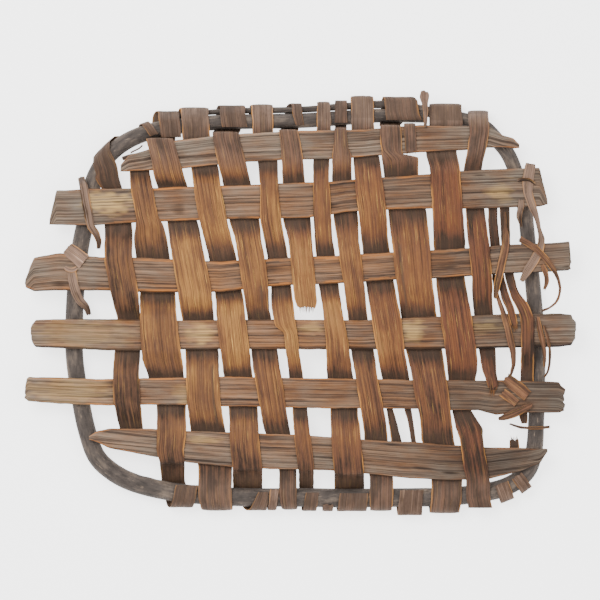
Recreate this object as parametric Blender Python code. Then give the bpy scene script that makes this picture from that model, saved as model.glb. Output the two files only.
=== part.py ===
"""Flat woven splint panel from an old pack basket: six rough slats and a row of thin bark splints,
woven over and under, inside a bent sapling hoop that the splint ends wrap round.

The panel lies on its back. +X runs along the slats, +Y to the top of the panel, +Z out of its face.
The panel's plan is placed by named pixel coordinates of its picture, which the functions across()
and up() turn into metres from the widths and gaps of the splints and slats.
"""

from math import acos, atan2, cos, hypot, pi, radians, sin, sqrt

import bmesh
import bpy
from mathutils import Vector

# Driving sizes, in metres
SPLINT_WIDTH = 0.028
SPLINT_GAP = 0.0036
SPLINT_THICKNESS = 0.0016
SLAT_WIDTH = 0.030
SLAT_GAP = 0.0316
SHORT_SLAT_THICKNESS = 0.005
LONG_SLAT_THICKNESS = 0.006
WEDGE_SLAT_THICKNESS = 0.008
ROUND_SLAT_THICKNESS = 0.009
HOOP_RADIUS = 0.0095
LAP_GAP = 0.0006
THONG_THICKNESS = 0.0012
SNAG_THICKNESS = 0.003
CLEARANCE = 0.0003

# The picture's own measure of the same sizes: one pitch of splints, one pitch of slats, and the
# pixel that stands for the middle of the panel
SPLINT_PITCH_PX = 31.6
SLAT_PITCH_PX = 61.6
SPLINT_WIDTH_PX = 28.0
SLAT_WIDTH_PX = 30.0
MIDDLE_PX = (300.0, 304.0)

# Heights that follow from the sizes. The wraps' backs lie on z = 0 and the hoop rests inside them.
# WRAP_OFFSET is from the hoop's skin to the middle of a wrap's bark, with room for its facets.
LIFT = SPLINT_THICKNESS + CLEARANCE
WRAP_OFFSET = 2 * CLEARANCE + SPLINT_THICKNESS / 2
SIDE_HOOP_SHARE = 0.95
BED = LIFT + 2 * SIDE_HOOP_SHARE * HOOP_RADIUS + CLEARANCE
UNDER = BED - CLEARANCE - SPLINT_THICKNESS / 2

HOOP_SIDES = 10
TURN_STEP = radians(22.5)

# Materials: colour, roughness, metallic
SPLINT_BARK = ((0.36, 0.19, 0.09), 0.62, 0.0)
SLAT_WOOD = ((0.20, 0.14, 0.10), 0.80, 0.0)
HOOP_BARK = ((0.08, 0.078, 0.08), 0.55, 0.0)
WRAP_BARK = ((0.25, 0.18, 0.15), 0.70, 0.0)
THONG_BARK = ((0.22, 0.13, 0.09), 0.65, 0.0)

# Inner edge of the hoop in picture pixels with the sapling's radius there as a share of
# HOOP_RADIUS, from its butt at the top right, round by the left, to the right-hand side of the top
HOOP_INNER_PX = (
    ((426, 122.3), 0.66),
    ((400, 122), 0.70),
    ((380, 122), 0.74),
    ((340, 125), 0.78),
    ((300, 127.6), 0.79),
    ((250, 128.5), 0.80),
    ((215, 129.7), 0.81),
    ((172, 134.5), 0.84),
    ((153, 138.5), 0.86),
    ((134, 146), 0.88),
    ((120, 155.5), 0.90),
    ((110, 166.5), 0.92),
    ((102, 181.5), 0.93),
    ((97, 202), 0.95),
    ((93, 226), 0.95),
    ((88, 252), 0.95),
    ((84, 291), 0.95),
    ((82.5, 325), 0.95),
    ((83, 359), 0.95),
    ((89, 398.5), 0.97),
    ((95, 427.5), 0.98),
    ((103.5, 451), 1.00),
    ((116, 463.5), 1.00),
    ((134.5, 473.5), 1.00),
    ((163, 481), 1.00),
    ((201, 486.2), 1.00),
    ((250, 488.3), 1.00),
    ((300, 488.5), 1.00),
    ((350, 489.2), 1.00),
    ((400, 488.6), 1.00),
    ((449.5, 487.6), 1.00),
    ((487.5, 483), 0.98),
    ((508, 476.5), 0.96),
    ((521, 466), 0.93),
    ((526.5, 449), 0.90),
    ((528.8, 420), 0.87),
    ((530, 380), 0.85),
    ((530, 340), 0.84),
    ((526.5, 291), 0.82),
    ((522.3, 251), 0.81),
    ((516.6, 201.6), 0.80),
    ((505, 163), 0.80),
    ((492, 144.8), 0.80),
    ((473, 128.6), 0.78),
)
# The far end lies along the outside of the near end and thins out: shares of HOOP_RADIUS at the
# hoop's points from the second to the eighth
LAP_SHARES = (0.44, 0.42, 0.38, 0.34, 0.32, 0.29, 0.22)
LAP_RISE_SHARE = 0.62

# Slats: thickness, share of it that the top edges are bevelled by, and (x, top, bottom) in pixels
SLATS = {
    "slat_1_short_top": (
        SHORT_SLAT_THICKNESS,
        0.30,
        (
            (119, 164.5, 172),
            (128, 155, 172),
            (145, 150, 171),
            (175, 140, 169),
            (200, 137.5, 166),
            (245, 133.5, 162),
            (300, 131.3, 159),
            (330, 130.3, 159),
            (380, 128.5, 155),
            (420, 125.4, 152),
            (465, 125.4, 150),
            (490, 127, 147.5),
            (503, 135, 147.5),
            (514, 138, 148.5),
            (521, 144, 148),
        ),
    ),
    "slat_2_long": (
        LONG_SLAT_THICKNESS,
        0.30,
        (
            (48, 219, 224.5),
            (55.5, 190.5, 225),
            (90, 189, 225),
            (130, 188, 223),
            (200, 187, 220),
            (250, 185, 219),
            (310, 182.5, 217),
            (345, 180, 212),
            (420, 175, 209),
            (470, 170, 208.5),
            (515, 168, 207),
            (540, 168, 206.5),
            (549, 199, 204),
        ),
    ),
    "slat_3_wedge": (
        WEDGE_SLAT_THICKNESS,
        0.36,
        (
            (24, 279, 287),
            (34, 257, 291),
            (60, 252.5, 291),
            (100, 257, 291),
            (140, 257.5, 291.5),
            (220, 261.5, 292.5),
            (270, 259, 286),
            (320, 256, 284),
            (370, 254, 281),
            (440, 250, 278),
            (500, 245, 274),
            (545, 243, 272),
            (570, 241, 270.5),
            (572, 255, 269),
        ),
    ),
    "slat_4_round": (
        ROUND_SLAT_THICKNESS,
        0.55,
        (
            (30, 327, 339),
            (34, 319.5, 347),
            (100, 319, 350.5),
            (170, 320, 350),
            (250, 320, 349),
            (310, 320, 350),
            (360, 320, 349),
            (420, 317, 349),
            (490, 314.5, 348),
            (560, 313, 347),
            (572, 315, 345),
            (576.5, 322, 338),
        ),
    ),
    "slat_5_long": (
        LONG_SLAT_THICKNESS,
        0.24,
        (
            (23.3, 387, 398),
            (27, 376.5, 401),
            (60, 378, 403.5),
            (110, 379, 405),
            (180, 377.5, 405),
            (230, 376.5, 406.5),
            (300, 378, 408),
            (350, 379, 408),
            (430, 380, 409),
            (478, 380, 410.5),
            (496, 380, 415),
            (515, 380.5, 412.5),
            (559, 381.5, 413),
            (566, 388.5, 411),
        ),
    ),
    "slat_6_short_bottom": (
        SHORT_SLAT_THICKNESS,
        0.30,
        (
            (87.5, 436.5, 439.5),
            (97, 431.5, 442),
            (109, 428.5, 448),
            (150, 429, 455.5),
            (190, 431, 462.5),
            (230, 432.5, 466.5),
            (270, 434, 468.5),
            (330, 437, 470),
            (370, 440, 474),
            (410, 442, 478.5),
            (450, 445, 480),
            (490, 447, 479),
            (520, 447.5, 472),
            (540, 448, 463.5),
            (549, 448.5, 452),
        ),
    ),
}
SLAT_NAMES = tuple(SLATS)
FIRST, SECOND, THIRD, FOURTH, FIFTH, SIXTH = SLAT_NAMES

# Splints, from the left: the slats that each passes over, and its outline as
# (y, left, right) in pixels from its upper end to its lower one
SPLINTS = {
    "splint_01": (
        (THIRD, FIFTH),
        (
            (189, 101, 122),
            (225, 104, 132),
            (260, 104.5, 133),
            (290, 110, 138),
            (320, 117, 140),
            (351, 114, 140),
            (370, 112.5, 139),
            (400, 113, 140.5),
            (428, 119.5, 143),
            (447, 121, 144),
        ),
    ),
    "splint_02": (
        (SECOND, FOURTH, SIXTH),
        (
            (157, 129, 149),
            (175, 129.5, 150),
            (188, 131, 153),
            (205, 134, 156),
            (218, 136, 159),
            (226, 135.5, 163.5),
            (240, 134, 166.5),
            (255, 136, 169),
            (291, 140, 175),
            (330, 140.5, 178),
            (360, 143, 182.5),
            (375, 148, 183.5),
            (406, 157, 186),
            (430, 157, 186),
            (450, 157, 183.5),
            (470, 162, 185),
            (482, 166, 189),
        ),
    ),
    "splint_03": (
        (FIRST, THIRD, FIFTH),
        (
            (139, 146.5, 173),
            (160, 151.5, 179),
            (172, 153, 183),
            (185, 157, 187),
            (221, 167, 197),
            (250, 171, 203),
            (290, 178, 211.5),
            (320, 182, 214),
            (355, 185.5, 218.5),
            (400, 187, 220),
            (430, 190.5, 225),
            (468, 198, 232),
            (490, 201, 232),
        ),
    ),
    "splint_04": (
        (SECOND, FOURTH, SIXTH),
        (
            (137, 182, 210),
            (168, 191, 218),
            (185, 193.5, 221),
            (210, 197, 226),
            (240, 204.5, 232),
            (258, 208.5, 236),
            (295, 215, 242.5),
            (330, 218, 247.5),
            (350, 220.5, 249.5),
            (370, 223, 251.5),
            (407, 228.5, 258),
            (440, 230, 259.5),
            (470, 233, 262.5),
            (482, 236, 260),
        ),
    ),
    "splint_05": (
        (FIRST, THIRD, FIFTH),
        (
            (135, 212, 239),
            (155, 216, 244),
            (184, 223, 250.5),
            (221, 229.5, 260),
            (240, 235, 261.5),
            (265, 239.5, 265.5),
            (290, 243.5, 268.5),
            (310, 246.5, 269.5),
            (350, 251.5, 277.5),
            (370, 253.5, 280.5),
            (400, 258.5, 285),
            (430, 264, 289.5),
            (460, 276, 295),
            (480, 282.5, 297.5),
            (490, 284, 299),
        ),
    ),
    "splint_06": (
        (SECOND, FOURTH, SIXTH),
        (
            (130, 252, 273),
            (163, 258, 277.5),
            (190, 260, 278.5),
            (220, 260.5, 281.5),
            (240, 264.5, 285),
            (257, 267.5, 288),
            (287, 271, 291),
            (312, 272, 294),
            (326, 275, 296),
            (332, 283.5, 297),
            (350, 285.5, 299),
            (370, 288.5, 302.5),
            (408, 292.5, 307),
            (440, 295, 311),
            (460, 297.5, 314),
            (482, 300, 314),
        ),
    ),
    "splint_07": (
        (FIRST, THIRD),
        (
            (131, 279, 298),
            (150, 281.5, 302),
            (184, 283, 306),
            (220, 283.5, 310.5),
            (240, 288.5, 312),
            (260, 290.5, 313.5),
            (280, 292.5, 315.5),
            (300, 295, 317),
            (309, 298, 315),
        ),
    ),
    "splint_08": (
        (SECOND, FOURTH, SIXTH),
        (
            (120, 318, 331.5),
            (161, 313.5, 329.5),
            (180, 313.5, 329),
            (200, 313.5, 330),
            (220, 313.5, 331.5),
            (240, 314.5, 333),
            (285, 318.5, 339),
            (310, 323, 342),
            (340, 326, 348),
            (350, 326, 349),
            (370, 327, 352),
            (408, 330, 358),
            (440, 331, 361),
            (470, 333.5, 364),
            (482, 335, 364),
        ),
    ),
    "splint_09": (
        (FIRST, THIRD, FIFTH),
        (
            (127, 335, 346.5),
            (147, 333.5, 348),
            (155, 332, 351.5),
            (180, 332, 352),
            (213, 333.5, 357.5),
            (240, 337, 359),
            (280, 343, 363.5),
            (315, 348, 367.5),
            (350, 351, 373.5),
            (370, 354.5, 376.5),
            (400, 359.5, 382),
            (430, 363.5, 387),
            (462, 366, 390),
            (476, 369, 393),
            (492, 373, 394.5),
        ),
    ),
    "splint_10": (
        (SECOND, FOURTH),
        (
            (126, 351.5, 374),
            (161, 354, 380),
            (190, 356, 383.5),
            (212, 359, 386.5),
            (240, 361.5, 388.5),
            (281, 366, 394),
            (300, 368.5, 397),
            (320, 371.5, 401),
            (340, 375.5, 403.5),
            (350, 377, 404),
            (370, 380.5, 408),
            (398, 386, 413),
        ),
    ),
    "splint_11": (
        (FIRST, THIRD, FIFTH),
        (
            (124, 379.5, 400),
            (140, 380.5, 401.5),
            (153.5, 381.8, 402.5),
            (157.5, 382.3, 418.5),
            (175, 384.5, 418.5),
            (211, 388.5, 427),
            (240, 391.5, 429.5),
            (280, 396, 432.5),
            (310, 400.5, 436),
            (349, 406, 442),
            (370, 410.5, 445),
            (400, 416, 449.5),
            (420, 420, 452),
            (440, 422, 454),
            (480, 431.5, 462.5),
            (492, 431.5, 461.5),
        ),
    ),
    "splint_12": (
        (SECOND, FOURTH, SIXTH),
        (
            (122, 429.5, 463),
            (152, 425.5, 457),
            (170, 429.5, 460.5),
            (200, 432, 462),
            (240, 433.5, 465.5),
            (278, 435.5, 465.5),
            (300, 438.5, 468.5),
            (320, 440.5, 472),
            (349, 444.5, 476),
            (370, 447.5, 477.5),
            (410, 452.5, 471),
            (428, 456, 482),
            (440, 459.5, 483),
            (460, 462.5, 487),
            (480, 465.5, 490),
            (493, 467, 491),
        ),
    ),
    "splint_13": (
        (FIRST, THIRD, FIFTH),
        (
            (116, 467.5, 489),
            (130, 469.5, 489),
            (150, 467, 485.5),
            (169, 463.5, 482),
            (209, 465.5, 485),
            (240, 467.5, 488.5),
            (260, 470, 489.8),
            (280, 472, 491.7),
            (300, 472.5, 492.5),
            (349, 479, 496),
            (370, 482.5, 496.5),
            (385, 487.5, 498.5),
            (392, 489, 495),
        ),
    ),
}

# Splint ends at the hoop: (style, x of the tip, width of the tip, slack beyond the hoop in pixels).
# "front" lies on the hoop's face and turns round its outside to the back. "behind" dives inside
# the hoop, passes its back and comes up round the outside onto its face.
TOP_ENDS_PX = {
    "splint_03": ("behind", 171.0, 20.0, 0.5),
    "splint_04": ("front", 190.0, 27.0, 0.5),
    "splint_05": ("behind", 234.5, 25.0, 0.5),
    "splint_06": ("front", 259.0, 22.5, 1.0),
    "splint_07": ("behind", 300.0, 8.0, 1.0),
    "splint_08": ("front", 323.0, 11.0, 0.5),
    "splint_09": ("behind", 341.5, 13.0, 0.5),
    "splint_10": ("front", 361.0, 21.5, 3.5),
    "splint_11": ("behind", 404.0, 36.0, 1.5),
    "splint_12": ("front", 446.0, 31.0, 1.0),
    "splint_13": ("front", 478.0, 21.0, 1.0),
}
BOTTOM_ENDS_PX = {
    "splint_02": ("behind", 187.0, 22.0, 1.5),
    "splint_03": ("front", 220.5, 25.5, 2.5),
    "splint_04": ("behind", 264.0, 10.0, 2.0),
    "splint_05": ("front", 292.5, 11.5, 1.0),
    "splint_06": ("behind", 312.0, 13.0, 2.0),
    "splint_08": ("behind", 354.0, 28.0, 2.0),
    "splint_09": ("front", 381.5, 19.0, 1.5),
    "splint_11": ("front", 441.5, 27.0, 5.0),
    "splint_12": ("flat", 480.5, 24.0, 0.0),
}
FRONT_TAIL = radians(-118)
CORNER_TAIL = radians(-101)
BEHIND_TIP = radians(90 + 360 + 28)
FLAT_END_PX = 508.0

# Slips of bark that are only wrapped round the hoop: (x at the start, x at the end, width, start
# angle, end angle, slack), all at the bottom rim and in pixels and degrees
RIM_REMNANTS_PX = {
    "rim_wrap_loose": (270.5, 275.0, 8.6, -70, 142, 2.0),
    "rim_wrap_torn": (327.0, 328.5, 10.0, -92, 62, 2.0),
    "rim_wrap_broad": (408.0, 412.0, 24.0, -100, 135, 7.0),
}


# The same for the slips at the hoop's corners: (middle of the slip, width, slack, and its drift
# along the hoop in a quarter turn)
CORNER_REMNANTS_PX = {
    "rim_wrap_top_slip": ((152.0, 127.0), 9.0, 0.5, -5.0),
    "rim_wrap_corner_inner": ((503.5, 489.0), 14.5, 3.0, 0.0),
    "rim_wrap_corner_outer": ((520.0, 479.8), 12.0, 3.0, 0.0),
}

# The first splint turns aslant over the hoop's corner: where, how wide and with how much drift,
# and (x, y, width) of the bends before it. At each bend it has made a share of its rise from the
# slats' undersides to the hoop's face, and a share of its swing to the hoop's own direction.
CORNER_SPLINT = "splint_01"
CORNER_PX = (102.5, 162.5)
CORNER_WIDTH_PX = 26.0
CORNER_DRIFT_PX = 12.0
CORNER_BENDS_PX = ((107.6, 180.5, 24.0), (105.8, 170.5, 24.5))
CORNER_RISE_SHARES = (0.85, 1.0)
CORNER_SWING_SHARES = (0.0, 0.5)

# Loose strips: broken splints, bark thongs and lashings. Rows of (x, y, width) in pixels and the
# height, which is "under" the slats, (slat, layer) on top of a slat, or a share of the
# height of the slats' undersides
STRIPS_PX = {
    "splint_11_split_strand": (
        SPLINT_THICKNESS,
        SPLINT_BARK,
        (
            (410.5, 152.8, 12.0, (FIRST, 0)),
            (410.3, 142, 11.0, (FIRST, 0)),
            (409.5, 128, 11.0, (FIRST, 0)),
            (409.5, 124.5, 11.0, 1.27),
            (409.5, 123.6, 11.0, 1.1),
            (409.5, 123.5, 11.0, 0.7),
        ),
    ),
    "splint_14": (
        SPLINT_THICKNESS,
        SPLINT_BARK,
        (
            (492.5, 196, 9.5, "under"),
            (493.0, 220, 9.5, "under"),
            (495.5, 243, 10.0, "under"),
            (500.6, 277, 8.0, "under"),
            (502.6, 285, 7.5, 1.04),
            (505.0, 296, 8.5, 1.22),
            (510.0, 309, 8.0, (FOURTH, 0)),
            (514.5, 327.5, 6.5, (FOURTH, 0)),
        ),
    ),
    "splint_15": (
        SPLINT_THICKNESS,
        SPLINT_BARK,
        (
            (504.5, 196, 11.0, "under"),
            (505.0, 220, 10.0, "under"),
            (506.0, 243, 9.0, "under"),
            (510.0, 277, 8.5, "under"),
            (512.0, 285, 8.5, 1.04),
            (515.5, 295, 9.5, 1.22),
            (523.5, 309, 11.5, (FOURTH, 0)),
            (527.2, 320, 13.5, (FOURTH, 0)),
            (527.2, 349, 13.5, (FOURTH, 0)),
            (527.2, 362, 13.5, 1.2),
            (527.2, 376, 13.5, "under"),
            (527.2, 396, 13.5, "under"),
        ),
    ),
    "splint_14_sliver": (
        THONG_THICKNESS,
        THONG_BARK,
        (
            (493.4, 270.5, 3.0, "under"),
            (494.4, 281, 3.4, "under"),
            (497.0, 295, 4.0, 1.12),
            (501.5, 309, 4.6, (FOURTH, 0)),
            (507.0, 326, 6.0, (FOURTH, 0)),
            (510.2, 340, 7.0, (FOURTH, 0)),
            (512.8, 351, 6.5, (FOURTH, 0)),
            (513.6, 362, 4.5, 1.36),
            (510.0, 377, 2.0, 1.26),
        ),
    ),
    "splint_10_lower_shard": (
        SPLINT_THICKNESS,
        SPLINT_BARK,
        (
            (388.5, 400.5, 6.0, "under"),
            (390.0, 411, 6.5, "under"),
            (394.0, 428, 9.0, "under"),
            (397.0, 446, 11.0, "under"),
        ),
    ),
    "splint_10_lower_strand": (
        SPLINT_THICKNESS,
        SPLINT_BARK,
        (
            (405.5, 400.5, 6.0, "under"),
            (408.3, 411, 6.0, "under"),
            (411.5, 426, 5.5, "under"),
            (414.7, 448, 4.5, "under"),
        ),
    ),
    "splint_13_lower_stub": (
        SPLINT_THICKNESS,
        SPLINT_BARK,
        (
            (514.5, 438, 9.0, "under"),
            (514.5, 446, 10.0, "under"),
            (514.0, 458, 10.0, "under"),
        ),
    ),
    "thong_upper_right": (
        THONG_THICKNESS,
        THONG_BARK,
        (
            (504.5, 211, 2.5, 1.04),
            (505.2, 226, 4.0, 1.14),
            (505.8, 239, 7.0, (THIRD, 0)),
            (504.5, 250, 8.0, (THIRD, 0)),
            (501.5, 263, 8.0, (THIRD, 0)),
            (499.0, 275, 7.5, (THIRD, 0)),
            (496.5, 288, 6.0, 1.38),
            (494.8, 300, 2.5, 1.34),
        ),
    ),
    "sliver_lower_right": (
        THONG_THICKNESS,
        THONG_BARK,
        (
            (536.8, 316, 3.0, (FOURTH, 0)),
            (538.8, 327, 5.0, (FOURTH, 0)),
            (541.6, 339, 5.5, (FOURTH, 0)),
            (544.0, 351, 4.5, (FOURTH, 0)),
            (544.6, 361, 3.0, 1.38),
            (544.2, 369, 1.6, 1.34),
        ),
    ),
    "thong_lower_right": (
        THONG_THICKNESS,
        THONG_BARK,
        (
            (543.6, 325, 2.0, (FOURTH, 0)),
            (547.2, 338, 2.6, (FOURTH, 0)),
            (549.4, 350, 2.6, (FOURTH, 0)),
            (549.6, 361, 2.6, 1.38),
            (547.6, 372, 2.4, 1.32),
            (543.0, 379, 1.6, 1.28),
        ),
    ),
    "rim_thong_stub": (
        THONG_THICKNESS,
        WRAP_BARK,
        (
            (425.0, 129.5, 3.0, (FIRST, 0)),
            (425.4, 122.3, 3.0, (FIRST, 0)),
            (425.5, 113, 4.5, 1.12),
            (425.0, 104, 6.0, 1.16),
            (424.3, 97, 10.0, 1.24),
            (425.3, 90, 7.5, 1.32),
        ),
    ),
    "hoop_snag": (
        SNAG_THICKNESS,
        HOOP_BARK,
        (
            (120.9, 158.4, 4.2, 0.5),
            (127.0, 156.0, 3.6, 0.52),
            (134.0, 153.4, 1.6, 0.55),
        ),
    ),
    "hoop_thread": (
        THONG_THICKNESS,
        THONG_BARK,
        (
            (142.0, 144.3, 1.6, 0.5),
            (139.0, 147.5, 1.6, 0.5),
            (134.5, 149.7, 1.6, 0.48),
            (129.5, 152.2, 1.6, 0.46),
        ),
    ),
    "lashing_upper_left": (
        THONG_THICKNESS,
        WRAP_BARK,
        (
            (80.6, 176.5, 6.0, 0.6),
            (81.6, 180.5, 7.0, 0.98),
            (83.4, 185.0, 8.5, (SECOND, 0)),
            (86.0, 200, 9.0, (SECOND, 0)),
            (88.8, 214, 9.0, (SECOND, 0)),
            (91.0, 226, 8.0, (SECOND, 0)),
            (96.4, 235, 6.5, 0.98),
            (98.4, 242, 5.5, 0.72),
            (97.8, 249, 4.0, 0.5),
        ),
    ),
    "lashing_lower_left_band": (
        THONG_THICKNESS,
        WRAP_BARK,
        (
            (67.0, 247.8, 12.0, 1.3),
            (70.0, 250.5, 13.5, (THIRD, 0)),
            (77.5, 256.0, 15.0, (THIRD, 0)),
            (85.0, 262.0, 16.0, (THIRD, 0)),
        ),
    ),
    "lashing_lower_left_strand": (
        THONG_THICKNESS,
        WRAP_BARK,
        (
            (71.5, 271, 8.5, (THIRD, 0)),
            (73.0, 280, 9.0, (THIRD, 0)),
            (75.5, 290, 9.5, (THIRD, 0)),
            (79.5, 300, 8.5, 1.16),
            (86.6, 308, 6.5, 0.95),
            (88.6, 316, 4.5, 0.7),
        ),
    ),
    "lashing_lower_left_knot": (
        THONG_THICKNESS,
        WRAP_BARK,
        (
            (64.5, 266.5, 3.0, (THIRD, 1)),
            (68.0, 269.5, 4.5, (THIRD, 1)),
            (73.0, 270.5, 4.5, (THIRD, 1)),
            (77.5, 268.0, 3.0, (THIRD, 1)),
        ),
    ),
    "lashing_upper_right_band": (
        THONG_THICKNESS,
        WRAP_BARK,
        (
            (530.5, 163.5, 10.0, 1.14),
            (530.0, 166.2, 11.0, (SECOND, 0)),
            (527.5, 181, 11.0, (SECOND, 0)),
            (527.5, 192, 9.0, (SECOND, 0)),
            (531.5, 204, 8.0, (SECOND, 0)),
            (533.0, 208.5, 7.5, (SECOND, 0)),
            (536.5, 217, 6.0, 1.2),
            (538.8, 229, 4.5, 1.25),
            (541.0, 240, 7.0, (THIRD, 0)),
            (539.0, 251, 9.0, (THIRD, 0)),
            (533.0, 262, 9.0, (THIRD, 0)),
            (526.5, 272, 8.0, (THIRD, 0)),
            (521.0, 282, 3.5, 1.3),
        ),
    ),
    "lashing_upper_right_leaf": (
        THONG_THICKNESS,
        WRAP_BARK,
        (
            (521.3, 198, 5.0, (SECOND, 0)),
            (520.6, 207, 6.5, (SECOND, 0)),
            (518.8, 217, 5.5, 1.16),
            (521.5, 228, 1.6, 1.06),
        ),
    ),
    "lashing_upper_right_loop": (
        THONG_THICKNESS,
        WRAP_BARK,
        (
            (516.5, 181.5, 2.4, (SECOND, 1)),
            (522.0, 179.6, 3.0, (SECOND, 1)),
            (529.0, 180.0, 3.0, (SECOND, 1)),
            (535.0, 184.5, 2.4, (SECOND, 1)),
        ),
    ),
    "lashing_middle_right_curl": (
        THONG_THICKNESS,
        THONG_BARK,
        (
            (519.0, 238.5, 5.5, 1.42),
            (528.0, 243.5, 6.0, (THIRD, 1)),
            (537.0, 250, 6.0, (THIRD, 1)),
            (546.0, 260, 6.0, (THIRD, 1)),
            (553.0, 269.5, 5.0, (THIRD, 1)),
            (558.0, 279, 3.6, 1.40),
            (560.0, 289, 3.0, 1.34),
            (558.0, 299, 3.0, 1.26),
            (551.5, 306.5, 2.6, 1.20),
            (541.5, 311, 2.0, 1.15),
        ),
    ),
    "lashing_middle_right_tail": (
        THONG_THICKNESS,
        THONG_BARK,
        (
            (541.6, 264.5, 3.0, (THIRD, 0)),
            (545.0, 272.5, 5.5, (THIRD, 0)),
            (546.8, 281, 4.5, 1.3),
            (543.5, 291, 1.8, 1.2),
        ),
    ),
    "folded_strip_upper": (
        THONG_THICKNESS,
        THONG_BARK,
        (
            (504.5, 377.2, 10.5, (FIFTH, 0)),
            (512.0, 383, 12.5, (FIFTH, 0)),
            (520.0, 389.5, 12.5, (FIFTH, 0)),
            (528.0, 396, 11.5, (FIFTH, 0)),
        ),
    ),
    "folded_strip_lower": (
        THONG_THICKNESS,
        THONG_BARK,
        (
            (501.5, 391.5, 8.0, (FIFTH, 0)),
            (509.5, 397.5, 9.0, (FIFTH, 0)),
            (517.0, 403.5, 8.0, (FIFTH, 0)),
        ),
    ),
    "folded_strip_leaf": (
        THONG_THICKNESS,
        THONG_BARK,
        (
            (533.0, 404, 3.0, (FIFTH, 1)),
            (524.0, 408.5, 7.5, (FIFTH, 1)),
            (514.0, 413, 8.5, (FIFTH, 1)),
            (505.0, 417, 6.5, 1.3),
            (498.0, 419, 2.5, 1.25),
        ),
    ),
    "folded_strip_tail": (
        THONG_THICKNESS,
        THONG_BARK,
        (
            (525.5, 402, 8.0, "under"),
            (523.5, 415, 9.0, "under"),
            (524.5, 424, 5.0, 0.9),
        ),
    ),
    "splinter_lower_right": (
        THONG_THICKNESS,
        THONG_BARK,
        (
            (509.0, 423.5, 1.8, 1.08),
            (521.0, 427.5, 2.4, 1.03),
            (537.0, 428.0, 2.4, 0.955),
            (551.0, 427.0, 2.8, 1.0),
        ),
    ),
}


def across(x_px):
    return (x_px - MIDDLE_PX[0]) / SPLINT_PITCH_PX * (SPLINT_WIDTH + SPLINT_GAP)


def up(y_px):
    return (MIDDLE_PX[1] - y_px) / SLAT_PITCH_PX * (SLAT_WIDTH + SLAT_GAP)


def bark_width(width_px):
    return width_px / SPLINT_WIDTH_PX * SPLINT_WIDTH


def between(table, x):
    """Straight-line reading of a table of (x, value, value...) rows sorted by x."""
    if x <= table[0][0]:
        return table[0][1:]
    for low, high in zip(table, table[1:]):
        if x <= high[0]:
            share = (x - low[0]) / (high[0] - low[0])
            return tuple(a + (b - a) * share for a, b in zip(low[1:], high[1:]))
    return table[-1][1:]


def smooth_through(points, steps):
    """Catmull-Rom curve through points of any dimension, steps pieces between each two."""
    padded = [points[0], *points, points[-1]]
    curve = []
    for before, start, end, after in zip(padded, padded[1:], padded[2:], padded[3:]):
        for step in range(steps):
            t = step / steps
            curve.append(
                tuple(
                    ((-t + 2 * t**2 - t**3) * a + (2 - 5 * t**2 + 3 * t**3) * b
                     + (t + 4 * t**2 - 3 * t**3) * c + (t**3 - t**2) * d) / 2
                    for a, b, c, d in zip(before, start, end, after)
                )
            )
    return [*curve, tuple(points[-1])]


# Objects


def material(name, look):
    made = bpy.data.materials.new(name)
    made.use_nodes = True
    colour, roughness, metallic = look
    shader = made.node_tree.nodes["Principled BSDF"]
    shader.inputs["Base Color"].default_value = (*colour, 1.0)
    shader.inputs["Roughness"].default_value = roughness
    shader.inputs["Metallic"].default_value = metallic
    made.diffuse_color = (*colour, 1.0)
    return made


def solid_of_rings(name, rings, look, smooth=False):
    """A closed object skinned over rings of points, with its first and last ring capped."""
    form = bmesh.new()
    loops = [[form.verts.new(point) for point in ring] for ring in rings]
    for here, there in zip(loops, loops[1:]):
        for i in range(len(here)):
            j = (i + 1) % len(here)
            form.faces.new((here[i], here[j], there[j], there[i]))
    form.faces.new(loops[0][::-1])
    form.faces.new(loops[-1])
    bmesh.ops.recalc_face_normals(form, faces=form.faces)
    mesh = bpy.data.meshes.new(name)
    form.to_mesh(mesh)
    form.free()
    mesh.materials.append(material(name + "_finish", look))
    if smooth:
        mesh.shade_smooth()
        mesh.set_sharp_from_angle(angle=radians(50))
    made = bpy.data.objects.new(name, mesh)
    bpy.context.scene.collection.objects.link(made)
    return made


def band(name, stations, thickness, look, sides=None):
    """A flat strip along stations of (x, y, z, width). Its flat side faces up where it lies flat.
    Each station's width runs along X, or along the matching vector in sides."""
    points = [Vector(station[:3]) for station in stations]
    rings = []
    for i, point in enumerate(points):
        before = (point - points[i - 1]).normalized() if i else None
        after = (points[i + 1] - point).normalized() if i + 1 < len(points) else before
        before = before or after
        along = (before + after).normalized()
        mitre = 1 / max(along.dot(after), 0.6)
        side = Vector(sides[i]) if sides else Vector((1, 0, 0))
        normal = side.cross(along).normalized() * thickness / 2 * mitre
        half = side * stations[i][3] / 2
        rings.append(
            (point - half - normal, point + half - normal, point + half + normal, point - half + normal)
        )
    return solid_of_rings(name, rings, look)


# The hoop


def hoop_line():
    """The sapling's centre line as (x, y, radius), with its far end lapped outside its near end."""
    inner = [(across(x), up(y), share * HOOP_RADIUS) for (x, y), share in HOOP_INNER_PX]
    line = []
    for i, (x, y, radius) in enumerate(inner):
        ahead = inner[min(i + 1, len(inner) - 1)]
        behind = inner[max(i - 1, 0)]
        length = hypot(ahead[0] - behind[0], ahead[1] - behind[1])
        outward = ((ahead[1] - behind[1]) / length, (behind[0] - ahead[0]) / length)
        line.append((x + outward[0] * radius, y + outward[1] * radius, radius, outward))
    near, end = line[: len(LAP_SHARES) + 1], line[-1]
    lap = []
    for (x, y, radius, outward), share in zip(near[1:], LAP_SHARES):
        reach = radius + LAP_GAP + share * HOOP_RADIUS
        lap.append((x + outward[0] * reach, y + outward[1] * reach, share * HOOP_RADIUS))
    rise = tuple(a + (b - a) * LAP_RISE_SHARE for a, b in zip(end[:3], lap[0]))
    whole = [point[:3] for point in line] + [rise, *lap]
    return smooth_through(whole, 3)


def hoop_height(radius):
    return LIFT + radius


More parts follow.
